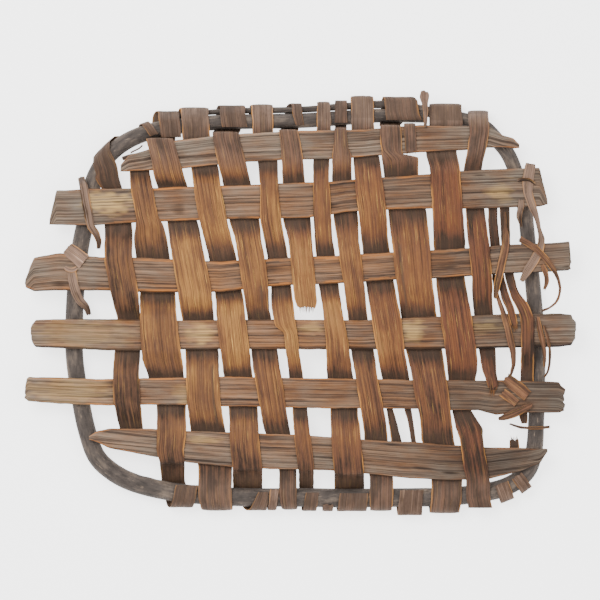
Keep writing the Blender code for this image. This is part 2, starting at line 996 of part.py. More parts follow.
def build_hoop():
    line = [(x, y, hoop_height(radius), radius) for x, y, radius in hoop_line()]
    rings = []
    for i, (x, y, z, radius) in enumerate(line):
        ahead = Vector(line[min(i + 1, len(line) - 1)][:3])
        behind = Vector(line[max(i - 1, 0)][:3])
        along = (ahead - behind).normalized()
        side = along.cross(Vector((0, 0, 1))).normalized()
        rise = side.cross(along)
        rings.append(
            [
                Vector((x, y, z))
                + radius * (side * cos(2 * pi * k / HOOP_SIDES) + rise * sin(2 * pi * k / HOOP_SIDES))
                for k in range(HOOP_SIDES)
            ]
        )
    return solid_of_rings("rim_hoop", rings, HOOP_BARK, smooth=True)


def bars_at(x, width, outward):
    """Where the hoop crosses a strip of this width at x, on the side that outward (+1 top, -1
    bottom) names: (y, z, half breadth, half height) of each bar, seen along X."""
    line = hoop_line()
    bars = []
    for place in (x - width / 2, x, x + width / 2):
        for (x0, y0, r0), (x1, y1, r1) in zip(line, line[1:]):
            if (x0 - place) * (x1 - place) > 0 or x0 == x1 or y0 * outward < 0:
                continue
            share = (place - x0) / (x1 - x0)
            radius = r0 + (r1 - r0) * share
            slope = (y1 - y0) / (x1 - x0)
            bars.append((y0 + (y1 - y0) * share, hoop_height(radius), radius * sqrt(1 + slope**2), radius))
    return bars


def round_bars(bars, outward, angle, offset):
    """The point (y, z) on a band stretched round the bars, at this angle from outward towards the
    face, pushed off them by offset."""
    along_y, along_z = cos(angle) * outward, sin(angle)

    def reach(bar):
        return bar[0] * along_y + bar[1] * along_z + hypot(bar[2] * along_y, bar[3] * along_z)

    y, z, broad, high = max(bars, key=reach)
    length = hypot(broad * along_y, high * along_z)
    return (
        y + broad**2 * along_y / length + offset * along_y,
        z + high**2 * along_z / length + offset * along_z,
    )


# Slats


def slat_at(name, x):
    """(lower edge, upper edge) of a slat at x, in metres."""
    rows = [(across(row[0]), *row[1:]) for row in SLATS[name][2]]
    top, bottom = between(rows, x)
    middle = up((top + bottom) / 2)
    half = (bottom - top) / 2 / SLAT_WIDTH_PX * SLAT_WIDTH
    return middle - half, middle + half


def build_slat(name):
    thickness, bevel_share, rows = SLATS[name]
    rings = []
    for row in rows:
        x = across(row[0])
        low, high = slat_at(name, x)
        bevel = min(bevel_share * thickness, (high - low) / 4)
        shoulder = BED + thickness - bevel
        rings.append(
            (
                (x, low, BED),
                (x, low, shoulder),
                (x, low + bevel, BED + thickness),
                (x, high - bevel, BED + thickness),
                (x, high, shoulder),
                (x, high, BED),
            )
        )
    return solid_of_rings(name, rings, SLAT_WOOD)


# Splints


def over(slat):
    return BED + SLATS[slat][0] + CLEARANCE + SPLINT_THICKNESS / 2


def splint_rows(name):
    rows = [(up(y), across((a + b) / 2), bark_width(b - a)) for y, a, b in SPLINTS[name][1]]
    return rows[::-1]


def weave_heights(name):
    """(y, z) of the splint's middle at the slats that it crosses, from the bottom upwards."""
    rows = splint_rows(name)
    overs = SPLINTS[name][0]
    heights = []
    for slat in SLAT_NAMES[::-1]:
        low, high = slat_at(slat, between(rows, slat_at(slat, rows[0][1])[0])[0])
        x, width = between(rows, (low + high) / 2)
        edges = [slat_at(slat, x + side * width / 2) for side in (-1, 0, 1)]
        low, high = min(edge[0] for edge in edges), max(edge[1] for edge in edges)
        if high < rows[0][0] or low > rows[-1][0]:
            continue
        z = over(slat) if slat in overs else UNDER
        arch = SPLINT_THICKNESS / 4 if slat in overs else -SPLINT_THICKNESS / 4
        heights += [(low - SPLINT_THICKNESS, z), ((low + high) / 2, z + arch), (high + SPLINT_THICKNESS, z)]
    return heights


def turn_angles(start, end):
    """Angles of a turn round the hoop, with one facet of it square to the panel's back."""
    way = 1 if end > start else -1
    grid = [-pi / 2 + (k + 0.5) * TURN_STEP for k in range(-16, 32)]
    inner = [angle for angle in grid[::way] if (angle - start) * way > 0.4 * TURN_STEP]
    return [start, *[angle for angle in inner if (end - angle) * way > 0.4 * TURN_STEP], end]


def rim_end(name, ends, outward, leaving):
    """Stations of a splint's end at the hoop, from the weave outwards. leaving is the last (y, z)
    of the weave."""
    style, tip_px, width_px, slack_px = ends[name]
    rows = splint_rows(name)
    x, width = between(rows, leaving[0])
    tip_x, tip_width = across(tip_px), bark_width(width_px)
    if style == "flat":
        bar_y, bar_z, _, high = bars_at(tip_x, tip_width, outward)[1]
        crest = bar_z + high + CLEARANCE + SPLINT_THICKNESS / 2
        return [
            (x, bar_y, crest, width),
            (tip_x, up(FLAT_END_PX), crest - SPLINT_THICKNESS, tip_width),
        ]
    bars = bars_at(x, max(width, tip_width), outward) + bars_at(tip_x, tip_width, outward)
    slack = abs(up(slack_px) - up(0))
    nearest = min(bars, key=lambda bar: bar[0] * outward - bar[2])
    away = ((leaving[0] - nearest[0]) * outward, leaving[1] - nearest[1])
    swing = acos(min(1.0, (nearest[2] + WRAP_OFFSET) / hypot(*away)))
    if style == "front":
        first, last = atan2(away[1], away[0]) - swing, FRONT_TAIL
    else:
        first, last = atan2(away[1], away[0]) + swing, BEHIND_TIP
    stations = []
    for angle in turn_angles(first, last):
        share = (angle - first) / (last - first)
        y, z = round_bars(bars, outward, angle, WRAP_OFFSET)
        y += slack * max(0.0, cos(angle)) ** 2 * outward
        stations.append((x + (tip_x - x) * share, y, z, width + (tip_width - width) * share))
    return stations


def dive(name, slat, outward):
    """Where a splint that lies over the last slat bends down round its edge."""
    rows = splint_rows(name)
    middle = sum(slat_at(slat, rows[-1 if outward > 0 else 0][1])) / 2
    x, width = between(rows, middle)
    edges = [slat_at(slat, x + side * width / 2)[0 if outward < 0 else 1] for side in (-1, 0, 1)]
    edge = max(edges) if outward > 0 else min(edges)
    z = over(slat)
    return [
        (edge - outward * SPLINT_THICKNESS, z),
        (edge + outward * SPLINT_THICKNESS * 0.55, z - SPLINT_THICKNESS * 0.25),
        (edge + outward * (CLEARANCE + SPLINT_THICKNESS * 0.6), z - SPLINT_THICKNESS * 1.6),
    ]


def build_splint(name):
    rows = splint_rows(name)
    heights = weave_heights(name)
    low_end = BOTTOM_ENDS_PX.get(name)
    high_end = TOP_ENDS_PX.get(name)
    if low_end and low_end[0] == "behind":
        heights = dive(name, SLAT_NAMES[-1], -1)[::-1] + heights[1:]
    if high_end and high_end[0] == "behind":
        heights = heights[:-1] + dive(name, SLAT_NAMES[0], 1)
    if not low_end:
        heights = trimmed(heights, rows[0][0], 0)
    if not high_end:
        heights = trimmed(heights, rows[-1][0], -1)
    stations = [(*between(rows, y)[:1], y, z, between(rows, y)[1]) for y, z in with_rows(heights, rows)]
    if low_end:
        stations = rim_end(name, BOTTOM_ENDS_PX, -1, heights[0])[::-1] + stations
    if high_end:
        stations += rim_end(name, TOP_ENDS_PX, 1, heights[-1])
    if name == CORNER_SPLINT:
        stations, sides = with_corner(stations)
        return band(name, stations, SPLINT_THICKNESS, SPLINT_BARK, sides)
    return band(name, stations, SPLINT_THICKNESS, SPLINT_BARK)


def trimmed(heights, end, which):
    """The heights up to a free end, with a last point on it."""
    outward = 1 if which else -1
    kept = [pair for pair in heights if (end - pair[0]) * outward > SPLINT_THICKNESS]
    z = between(sorted(heights), end)[0]
    return kept + [(end, z)] if which else [(end, z)] + kept


def with_rows(heights, rows):
    """The heights with a point added at each row of the outline that lies well between two."""
    joined = list(heights)
    for y, _, _ in rows[1:-1]:
        clear = min(abs(y - pair[0]) for pair in heights) > SPLINT_THICKNESS / 4
        if clear and heights[0][0] < y < heights[-1][0]:
            joined.append((y, between(heights, y)[0]))
    return sorted(joined) if joined[0][0] < joined[-1][0] else joined


# The first splint turns over the hoop's corner, so its end is set square to the hoop there


def hoop_near(x, y):
    """The hoop's centre (x, y), radius and direction along it nearest to a point of the plan."""
    line = hoop_line()
    i = min(range(1, len(line) - 1), key=lambda k: hypot(line[k][0] - x, line[k][1] - y))
    ahead, behind = line[i + 1], line[i - 1]
    length = hypot(ahead[0] - behind[0], ahead[1] - behind[1])
    along = Vector(((behind[0] - ahead[0]) / length, (behind[1] - ahead[1]) / length, 0))
    centre = Vector((line[i][0], line[i][1], 0))
    return centre + along * along.dot(Vector((x, y, 0)) - centre), line[i][2], along


def corner_turn(centre_px, width_px, start, end, slack_px, drift_px):
    """Stations and width directions of a strip that turns round the hoop at a corner and drifts
    along the hoop as it turns."""
    begin, _, way = hoop_near(across(centre_px[0]), up(centre_px[1]))
    slack, drift = up(0) - up(slack_px), up(0) - up(drift_px)
    stations = []
    sides = []
    for angle in turn_angles(start, end):
        place = begin + way * (drift * (start - angle) / radians(90))
        centre, radius, along = hoop_near(place.x, place.y)
        outward = Vector((-along.y, along.x, 0))
        reach = radius + WRAP_OFFSET
        place = centre + outward * (reach * cos(angle) + slack * max(0.0, cos(angle)) ** 2)
        height = hoop_height(radius) + CLEARANCE
        stations.append((place.x, place.y, height + reach * sin(angle), bark_width(width_px)))
        sides.append(along)
    return stations, sides


def with_corner(stations):
    straight = Vector((1, 0, 0))
    turn, sides = corner_turn(
        CORNER_PX, CORNER_WIDTH_PX, radians(96), CORNER_TAIL, 0.0, CORNER_DRIFT_PX
    )
    crest = turn[0][2]
    bends = []
    bend_sides = []
    for (x_px, y_px, width_px), rise, swing in zip(CORNER_BENDS_PX, CORNER_RISE_SHARES, CORNER_SWING_SHARES):
        bends.append((across(x_px), up(y_px), UNDER + (crest - UNDER) * rise, bark_width(width_px)))
        bend_sides.append(straight.lerp(sides[0], swing).normalized())
    return stations + bends + turn, [straight] * len(stations) + bend_sides + sides


# Loose strips


def height_of(spec, thickness):
    if spec == "under":
        return BED - CLEARANCE - thickness / 2
    if isinstance(spec, tuple):
        slat, layer = spec
        return BED + SLATS[slat][0] + (layer + 1) * CLEARANCE + (layer + 0.5) * thickness
    return spec * BED


def build_strip(name, thickness, look, rows_px):
    points = [
        (across(x), up(y), height_of(spec, thickness), bark_width(width)) for x, y, width, spec in rows_px
    ]
    sides = []
    for i, point in enumerate(points):
        behind, ahead = points[max(i - 1, 0)], points[min(i + 1, len(points) - 1)]
        run = hypot(ahead[0] - behind[0], ahead[1] - behind[1])
        sides.append(Vector(((ahead[1] - behind[1]) / run, (behind[0] - ahead[0]) / run, 0)))
    return band(name, points, thickness, look, sides)


def build_remnants():
    for name, (start_x, end_x, width_px, start, end, slack_px) in RIM_REMNANTS_PX.items():
        bars = [bar for x in (start_x, end_x) for bar in bars_at(across(x), bark_width(width_px), -1)]
        slack = abs(up(slack_px) - up(0))
        stations = []
        for angle in turn_angles(radians(start), radians(end)):
            share = (angle - radians(start)) / radians(end - start)
            y, z = round_bars(bars, -1, angle, WRAP_OFFSET)
            y -= slack * max(0.0, cos(angle)) ** 2
            x = across(start_x + (end_x - start_x) * share)
            stations.append((x, y, z, bark_width(width_px)))
        band(name, stations, SPLINT_THICKNESS, WRAP_BARK)
    for name, (centre_px, width_px, slack_px, drift_px) in CORNER_REMNANTS_PX.items():
        stations, sides = corner_turn(
            centre_px, width_px, radians(122), CORNER_TAIL, slack_px, drift_px
        )
        band(name, stations, SPLINT_THICKNESS, WRAP_BARK, sides)


def build():
    for leftover in list(bpy.data.objects):
        bpy.data.objects.remove(leftover, do_unlink=True)
    build_hoop()
    for name in SLATS:
        build_slat(name)
    for name in SPLINTS:
        build_splint(name)
    for name, (thickness, look, rows) in STRIPS_PX.items():
        build_strip(name, thickness, look, rows)
    build_remnants()
    centre_on_floor()


def centre_on_floor():
    """Parents every piece to one empty, which puts the middle of the panel's underside at zero."""
    pieces = list(bpy.data.objects)
    corners = [vertex.co for piece in pieces for vertex in piece.data.vertices]
    low = [min(corner[axis] for corner in corners) for axis in range(3)]
    high = [max(corner[axis] for corner in corners) for axis in range(3)]
    panel = bpy.data.objects.new("panel", None)
    bpy.context.scene.collection.objects.link(panel)
    for piece in pieces:
        piece.parent = panel
    panel.location = (-(low[0] + high[0]) / 2, -(low[1] + high[1]) / 2, -low[2])


build()
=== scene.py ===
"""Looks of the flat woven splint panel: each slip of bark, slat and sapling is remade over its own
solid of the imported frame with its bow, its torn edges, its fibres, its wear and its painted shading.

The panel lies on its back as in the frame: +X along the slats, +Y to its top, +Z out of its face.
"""

from math import pi, radians

import bmesh
import bpy
import numpy as np
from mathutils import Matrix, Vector


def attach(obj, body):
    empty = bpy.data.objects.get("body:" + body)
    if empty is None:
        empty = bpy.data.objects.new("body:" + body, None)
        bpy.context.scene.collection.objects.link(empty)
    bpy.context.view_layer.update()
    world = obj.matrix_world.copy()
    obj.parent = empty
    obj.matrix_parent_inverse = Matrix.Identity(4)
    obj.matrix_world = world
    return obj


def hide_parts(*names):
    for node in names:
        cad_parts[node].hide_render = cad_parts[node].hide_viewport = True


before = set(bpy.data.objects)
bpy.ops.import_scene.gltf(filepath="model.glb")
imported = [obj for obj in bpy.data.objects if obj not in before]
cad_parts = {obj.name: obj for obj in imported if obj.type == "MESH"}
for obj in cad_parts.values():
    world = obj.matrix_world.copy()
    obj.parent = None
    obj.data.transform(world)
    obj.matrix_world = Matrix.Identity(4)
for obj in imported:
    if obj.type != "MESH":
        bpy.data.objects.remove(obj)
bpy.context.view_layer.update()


# The hoop. A sapling as thick as a thumb, bent green into a rounded frame with its bark left on.
# Its thinned tip laps outside its butt along the top, and the wraps of the splint ends hold both.

HOOP_CORNERS = 10
HOOP_SIDE_ANGLE = radians(22)
BESIDE_SHARE = 0.04
SAME_POINT = 1e-7
HOOP_STEP = 0.002
HOOP_AROUND = 28
HOOP_SHRINK = 0.02
# How far the bark swells and wrinkles as shares of the radius, then the lengths in metres, and the
# angle, over which it does
HOOP_SWELL, HOOP_SWELL_LENGTH = 0.018, 0.05
HOOP_WRINKLE, HOOP_WRINKLE_LENGTH, HOOP_WRINKLE_ANGLE = 0.012, 0.03, 1.6
HOOP_SEED = 3
HOOP_KNOTS = 13
KNOT_STRAY = 0.4
KNOT_LENGTH, KNOT_ANGLE = 0.006, 0.5
KNOT_RISE, KNOT_HOLLOW = 0.07, 0.03
KNOT_RING, KNOT_RING_SHARPNESS = 1.6, 3
HOOP_END_SHARE = 0.4
END_GRAIN = 1e-4
SHARP_ANGLE = radians(48)
DRY_SHINE = 0.16
HOOP_DARK = (38, 34, 32)
HOOP_MIDDLE = (74, 66, 61)
HOOP_PALE = (134, 116, 100)
HOOP_WOOD = (132, 98, 64)


def colour(rgb):
    """A colour as the eye sees it, 0 to 255, in the shader's linear light."""
    shares = [part / 255 for part in rgb]
    return (*[s / 12.92 if s <= 0.04045 else ((s + 0.055) / 1.055) ** 2.4 for s in shares], 1.0)


def chance(seed, *places):
    """A fixed random number from -1 to 1 for each whole place."""
    mixed = seed * 37.719 + 0.5
    for place, factor in zip(places, (12.9898, 78.233)):
        mixed = mixed + place * factor
    return np.mod(np.sin(mixed) * 43758.5453, 1.0) * 2 - 1


def wander(seed, place, period):
    """Smooth random values from -1 to 1 that change over each period."""
    place = np.asarray(place, float) / period
    low = np.floor(place)
    share = place - low
    share = share * share * (3 - 2 * share)
    return chance(seed, low) * (1 - share) + chance(seed, low + 1) * share


def wander_over(seed, along, across, period_along, period_across):
    """The same over a surface, with its own period each way."""
    u, v = np.broadcast_arrays(along / period_along, across / period_across)
    i, j = np.floor(u), np.floor(v)
    a, b = u - i, v - j
    a, b = a * a * (3 - 2 * a), b * b * (3 - 2 * b)
    near = chance(seed, i, j) * (1 - a) + chance(seed, i + 1, j) * a
    far = chance(seed, i, j + 1) * (1 - a) + chance(seed, i + 1, j + 1) * a
    return near * (1 - b) + far * b


def flat_patch(face, corners):
    """The faces that lie in one plane with this one, if they have this many corners between them."""
    patch, edge_of = {face}, [face]
    while edge_of:
        for edge in edge_of.pop().edges:
            for other in edge.link_faces:
                if other not in patch and other.normal.dot(face.normal) > 0.99999:
                    patch.add(other)
                    edge_of.append(other)
        if len(patch) > corners - 2:
            return None
    points = {vert for part in patch for vert in part.verts}
    return patch if len(points) == corners else None


def is_corner(edge, angle):
    """Whether two faces meet here at a corner of the piece, and not where it only bends."""
    return edge.calc_face_angle(0.0) > angle


def rim_of(patch, angle):
    """The corners round a flat patch, in order, from the lowest of them by place."""
    rim = [edge for part in patch for edge in part.edges if not patch.issuperset(edge.link_faces)]
    if not all(is_corner(edge, angle) for edge in rim):
        return None
    places = {vert for edge in rim for vert in edge.verts}
    places = sorted(places, key=lambda vert: tuple(np.round(vert.co, 6)))
    order = [places[0]]
    while len(order) < len(places):
        beside = {edge.other_vert(order[-1]) for edge in rim if order[-1] in edge.verts}
        order.append(next(vert for vert in places if vert in beside and vert not in order))
    return order


def solid_of(node):
    """A frame solid as a mesh to walk along, with its faces joined at their corners."""
    form = bmesh.new()
    form.from_mesh(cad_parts[node].data)
    bmesh.ops.remove_doubles(form, verts=form.verts, dist=SAME_POINT)
    form.normal_update()
    return form


def long_edges(form, corners, angle):
    """The long edges of a rod or a strip, followed from its low end, in order round it. Its ends
    are the two smallest flat faces that meet all of their neighbours at a corner."""
    caps = []
    for face in form.faces:
        patch = flat_patch(face, corners)
        rim = rim_of(patch, angle) if patch else None
        if rim:
            caps.append((round(sum(part.calc_area() for part in patch), 10), rim))
    caps.sort(key=lambda cap: (cap[0], tuple(np.round(cap[1][0].co, 6))))
    ends = [caps[0][1], next(rim for _, rim in caps if not set(rim) & set(caps[0][1]))]
    ends.sort(key=lambda rim: sum(vert.co.y for vert in rim))
    low, high = ends
    lines, taken = [], set(low)
    for corner in low:
        line = [corner]
        while line[-1] not in high:
            here = line[-1]
            ways = [e for e in here.link_edges if is_corner(e, angle)]
            ways = [e for e in ways if e.other_vert(here) not in taken]
            if len(line) > 1:
                before = here.co - line[-2].co
                ways.sort(key=lambda e: -before.dot((e.other_vert(here).co - here.co).normalized()))
            line.append(ways[0].other_vert(here))
            taken.add(line[-1])
        lines.append(line)
    return lines


def nearest_on(line, point):
    """The point of a chain of straight lines nearest to this one."""
    starts, spans = line[:-1], np.diff(line, axis=0)
    shares = ((point - starts) * spans).sum(1) / (spans**2).sum(1)
    feet = starts + spans * np.clip(shares, 0, 1)[:, None]
    return feet[np.argmin(((feet - point) ** 2).sum(1))]


def length_along(places):
    return np.concatenate([[0], np.cumsum(np.linalg.norm(np.diff(places, axis=0), axis=1))])


def sections_of(node, corners):
    """The cross-sections of a rod from its left end to its right one: at each point of one long edge,
    the nearest point of every other, looked for beside it only, because the hoop laps itself."""
    form = solid_of(node)
    lines = [np.array([vert.co for vert in line]) for line in long_edges(form, corners, HOOP_SIDE_ANGLE)]
    form.free()
    shares = [length_along(line) / length_along(line)[-1] for line in lines]
    sections = []
    for point, share in zip(lines[0], shares[0]):
        beside = [line[np.abs(own - share) < BESIDE_SHARE] for line, own in zip(lines, shares)]
        sections.append([nearest_on(line, point) for line in beside])
    sections = np.array(sections)
    return sections if sections[0, 0, 0] < sections[-1, 0, 0] else sections[::-1]


def smooth_along(values, step):
    """Values at stations, carried on smoothly at this spacing and never past a station's own value,
    so a step in a strip's width stays a step. The first three values are the place."""
    values = np.asarray(values, float)
    lengths = np.maximum(np.linalg.norm(np.diff(values[:, :3], axis=0), axis=1), 1e-6)
    slopes = np.diff(values, axis=0) / lengths[:, None]
    slopes = np.where(np.abs(slopes) < 1e-9, 1e-9, slopes)
    before, after = slopes[:-1], slopes[1:]
    near, far = 2 * lengths[1:, None] + lengths[:-1, None], lengths[1:, None] + 2 * lengths[:-1, None]
    tangents = np.empty_like(values)
    tangents[0], tangents[-1] = slopes[0], slopes[-1]
    tangents[1:-1] = np.where(before * after > 0, (near + far) / (near / before + far / after), 0)
    made = []
    for i, length in enumerate(lengths):
        count = max(1, round(length / step))
        t = np.arange(count)[:, None] / count
        made.append(
            (2 * t**3 - 3 * t**2 + 1) * values[i]
            + (t**3 - 2 * t**2 + t) * length * tangents[i]
            + (3 * t**2 - 2 * t**3) * values[i + 1]
            + (t**3 - t**2) * length * tangents[i + 1]
        )
    return np.concatenate([*made, values[-1:]])


def mesh_piece(name, points, faces, grain, fields, finish):
    """A named piece from points and faces, with its grain map in metres and its fields of wear and painted
    light.
    """
    mesh = bpy.data.meshes.new(name)
    mesh.from_pydata(points.tolist(), [], faces)
    corners = np.empty(len(mesh.loops), np.int32)
    mesh.loops.foreach_get("vertex_index", corners)
    mesh.uv_layers.new(name="grain").uv.foreach_set("vector", grain[corners].astype(np.float32).ravel())
    for field, values in fields.items():
        layer = mesh.attributes.new(field, "FLOAT", "POINT")
        layer.data.foreach_set("value", values.astype(np.float32).ravel())
    mesh.materials.append(finish)
    mesh.shade_smooth()
    mesh.set_sharp_from_angle(angle=SHARP_ANGLE)
    piece = bpy.data.objects.new(name, mesh)
    bpy.context.scene.collection.objects.link(piece)
    return piece


def fit(piece, slot, *nodes):
    """The piece stands for these solids of the frame, which are hidden. The slot is not used."""
    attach(piece, "root")
    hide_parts(*nodes)


def finish_named(name):
    """A new dry material, which gives back little of the light as shine."""
    made = bpy.data.materials.new(name)
    made.use_nodes = True
    shader = made.node_tree.nodes["Principled BSDF"]
    shader.inputs["Specular IOR Level"].default_value = DRY_SHINE
    return made, made.node_tree, shader


def add(tree, kind, settings=None, **inputs):
    """A shader node with its settings, and its inputs linked or filled in by name, or by number
    after an i."""
    node = tree.nodes.new("ShaderNode" + kind)
    for setting, value in (settings or {}).items():
        setattr(node, setting, value)
    for label, value in inputs.items():
        numbered = label[0] == "i" and label[1:].isdigit()
        socket = node.inputs[int(label[1:]) if numbered else label.replace("_", " ")]
        if isinstance(value, bpy.types.NodeSocket):
            tree.links.new(value, socket)
        else:
            socket.default_value = value
    return node


def streaks(tree, along, across, detail):
    """Noise drawn out along the grain: how many changes a metre along it and across it."""
    grain = add(tree, "UVMap", {"uv_map": "grain"}).outputs["UV"]
    drawn = add(tree, "Mapping", Vector=grain, Scale=(along, across, 1.0)).outputs["Vector"]
    return add(tree, "TexNoise", Vector=drawn, Scale=1.0, Detail=detail, Roughness=0.6).outputs["Fac"]


def field(tree, name):
    return add(tree, "Attribute", {"attribute_name": name}).outputs["Fac"]


def sums(tree, how, a, b, clamp=False):
    return add(tree, "Math", {"operation": how, "use_clamp": clamp}, i0=a, i1=b).outputs[0]


def spread(tree, value, low, high, to_low=0.0, to_high=1.0):
    """The value taken from one range to another and kept inside it."""
    made = add(tree, "MapRange", {"clamp": True}, Value=value)
    for label, number in (("From Min", low), ("From Max", high), ("To Min", to_low), ("To Max", to_high)):
        made.inputs[label].default_value = number
    return made.outputs["Result"]


def ramp(tree, value, stops):
    """Colours along a value: (where, colour) from low to high."""
    made = add(tree, "ValToRGB", Fac=value)
    steps = made.color_ramp.elements
    while len(steps) < len(stops):
        steps.new(1.0)
    for step, (where, rgb) in zip(steps, stops):
        step.position = where
        step.color = colour(rgb)
    return made.outputs["Color"]


def mix(tree, share, a, b):
    made = tree.nodes.new("ShaderNodeMix")
    made.data_type = "RGBA"
    for socket, value in zip((made.inputs["Factor"], made.inputs[6], made.inputs[7]), (share, a, b)):
        if isinstance(value, bpy.types.NodeSocket):
            tree.links.new(value, socket)
        else:
            socket.default_value = value
    return made.outputs[2]


def bump(tree, shader, height, strength, distance):
    raised = add(tree, "Bump", Height=height, Strength=strength, Distance=distance)
    tree.links.new(raised.outputs["Normal"], shader.inputs["Normal"])


def hoop_finish():
    made, tree, shader = finish_named("sapling bark")
    blotch = streaks(tree, 34, 110, 7.0)
    scuff = streaks(tree, 90, 420, 5.0)
    skin = ramp(tree, blotch, ((0.22, HOOP_DARK), (0.52, HOOP_MIDDLE), (0.86, HOOP_PALE)))
    skin = mix(tree, spread(tree, scuff, 0.48, 0.34, 0.0, 0.60), skin, colour(HOOP_DARK))
    # The upper half of the bark is paled in scuffed patches: worn bark and a painted highlight.
    brightened = sums(tree, "MULTIPLY", spread(tree, scuff, 0.60, 0.75), field(tree, "rub_and_highlight"))
    skin = mix(tree, brightened, skin, colour(HOOP_PALE))
    skin = mix(tree, field(tree, "cut"), skin, colour(HOOP_WOOD))
    wrinkle = streaks(tree, 700, 70, 3.0)
    tree.links.new(skin, shader.inputs["Base Color"])
    tree.links.new(spread(tree, scuff, 0.3, 0.8, 0.62, 0.82), shader.inputs["Roughness"])
    bump(tree, shader, sums(tree, "ADD", sums(tree, "MULTIPLY", wrinkle, 0.6), blotch), 0.8, 0.0012)
    return made


def make_hoop():
    """The sapling: a tube round the hoop's own line that swells and wrinkles, with knots on it and
    its two cut ends."""
    rings = sections_of("rim_hoop", HOOP_CORNERS)
    middles = rings.mean(1)
    radii = np.linalg.norm(rings - middles[:, None], axis=2).mean(1)
    line = smooth_along(np.column_stack([middles, radii]), HOOP_STEP)
    places, radii = line[:, :3], line[:, 3]
    run = length_along(places)
    ahead = np.gradient(places, axis=0)
    ahead[:, 2] = 0
    ahead /= np.linalg.norm(ahead, axis=1)[:, None]
    aside = np.column_stack([ahead[:, 1], -ahead[:, 0], np.zeros(len(ahead))])
    turn = np.arange(HOOP_AROUND) * 2 * pi / HOOP_AROUND
    swells = wander(HOOP_SEED, run, HOOP_SWELL_LENGTH)[:, None]
    wrinkles = wander_over(HOOP_SEED + 1, run[:, None], turn, HOOP_WRINKLE_LENGTH, HOOP_WRINKLE_ANGLE)
    swell = 1 - HOOP_SHRINK + HOOP_SWELL * swells + HOOP_WRINKLE * wrinkles
    for knot in range(HOOP_KNOTS):
        where = run[-1] * (knot + 0.5 + KNOT_STRAY * chance(HOOP_SEED + 2, knot)) / HOOP_KNOTS
        facing = pi * chance(HOOP_SEED + 3, knot)
        round_it = np.angle(np.exp(1j * (turn - facing)))
        off = np.hypot((run[:, None] - where) / KNOT_LENGTH, round_it / KNOT_ANGLE)
        ring = np.exp(-((off - KNOT_RING) ** 2) * KNOT_RING_SHARPNESS)
        swell = swell + KNOT_RISE * np.exp(-off**2) - KNOT_HOLLOW * ring
    reach = radii[:, None] * swell
    points = (
        places[:, None]
        + aside[:, None] * (reach * np.cos(turn))[..., None]
        + np.array([0, 0, 1]) * (reach * np.sin(turn))[..., None]
    )
    rows, around = reach.shape
    hubs = [points[end].mean(0)[None] for end in (0, -1)]
    ends = [hubs[end] * (1 - HOOP_END_SHARE) + points[end] * HOOP_END_SHARE for end in (0, -1)]
    grid = np.arange(rows * around).reshape(rows, around)
    aside_grid = np.roll(grid, -1, 1)
    walls = np.stack([grid[:-1], grid[1:], aside_grid[1:], aside_grid[:-1]], -1).reshape(-1, 4)
    caps = []
    for end, first in ((0, rows * around), (-1, rows * around + around)):
        inner = first + np.arange(around)
        hub = rows * around + 2 * around + (0 if end == 0 else 1)
        outer, outer_next, inner_next = grid[end], aside_grid[end], np.roll(inner, -1)
        quads = np.stack([outer, outer_next, inner_next, inner], -1)
        fans = np.stack([inner, inner_next, np.full(around, hub)], -1)
        caps += [quads, fans] if end == 0 else [quads[:, ::-1], fans[:, ::-1]]
    everything = np.concatenate([points.reshape(-1, 3), *ends, *hubs])
    tail = len(everything) - rows * around
    grain_along = np.concatenate([np.repeat(run, around), np.zeros(tail)])
    grain_across = np.concatenate([np.tile(turn, rows) * radii.mean(), np.arange(tail) * END_GRAIN])
    grain = np.column_stack([grain_along, grain_across])
    cut = np.concatenate([np.zeros(rows * around), np.ones(tail)])
    # Painted highlight with wear: the upper half, facing +Z, is marked to be paled where the scuffs show.
    rub_and_highlight = np.concatenate([np.clip(np.sin(np.tile(turn, rows)), 0, 1), np.zeros(tail)])
    faces = [*walls.tolist(), *[face for part in caps for face in part.tolist()]]
    piece = mesh_piece("sapling_hoop", everything, faces, grain, {"cut": cut, "rub_and_highlight": rub_and_highlight}, hoop_finish())
    fit(piece, "hoop_bark", "rim_hoop")


make_hoop()


# The slats. Six rough lengths of split wood, the top and bottom ones short, which cross the hoop's
# face. Each was riven and knifed down, so its faces are ridged and its front edges are bevelled.
# Only the weave and the lashings hold them.

SLAT_CORNERS = 6
SLAT_SEED, SLAT_SEED_STEP = 20, 20
SLAT_STEP = 0.0016
SLAT_COLUMNS = 34
SLAT_EDGE_SHARE = 0.82
SLAT_SINK = 0.6
# How far the edges wave and are nicked, and over what length, in metres
EDGE_WAVE, EDGE_WAVE_LENGTH = 0.0006, 0.03
EDGE_NICK, EDGE_NICK_LENGTH = 0.0002, 0.006
BACK_RIDGE = 0.0003
LEAST_THICKNESS = 0.0008
BEVEL_ROUNDING = 1.4
CRACK_FROM = 0.72
BACK_GRAIN = (0.0, 0.05)
# The lengths along and across a slat over which its forms and its wear change, in metres
HOLLOW_LENGTHS = (0.045, 0.012)
RIDGE_LENGTHS = (0.050, 0.0022)
CRACK_LENGTHS = (0.030, 0.0035)
BACK_LENGTHS = (0.03, 0.003)
RAGGED_LENGTHS = (1.0, 0.0022)
RUB_LENGTHS = (0.035, 0.02)
TONE_LENGTHS = (0.05, 0.02)
FLAKE_LENGTHS = (0.007, 0.0022)
WORN_LENGTH = 0.02
# The ends: how ragged, how far drawn in, over how much of the slat, and the half width that shows it
# in full, in metres
END_RAGGED = 0.0014
END_DRAWN_IN = 0.0015
END_LENGTH = 0.010
END_HALF_WIDTH = 0.012
# The middle of the panel as the slats show it, rubbed and painted brighter as a pool of light: its place
# and its reach each way, in metres
SLAT_RUB_AND_LIGHT_PLACE, SLAT_RUB_AND_LIGHT_REACH = (-0.03, -0.01), (0.20, 0.16)
SLAT_RED_PLACE, SLAT_RED_REACH = 0.12, 0.09
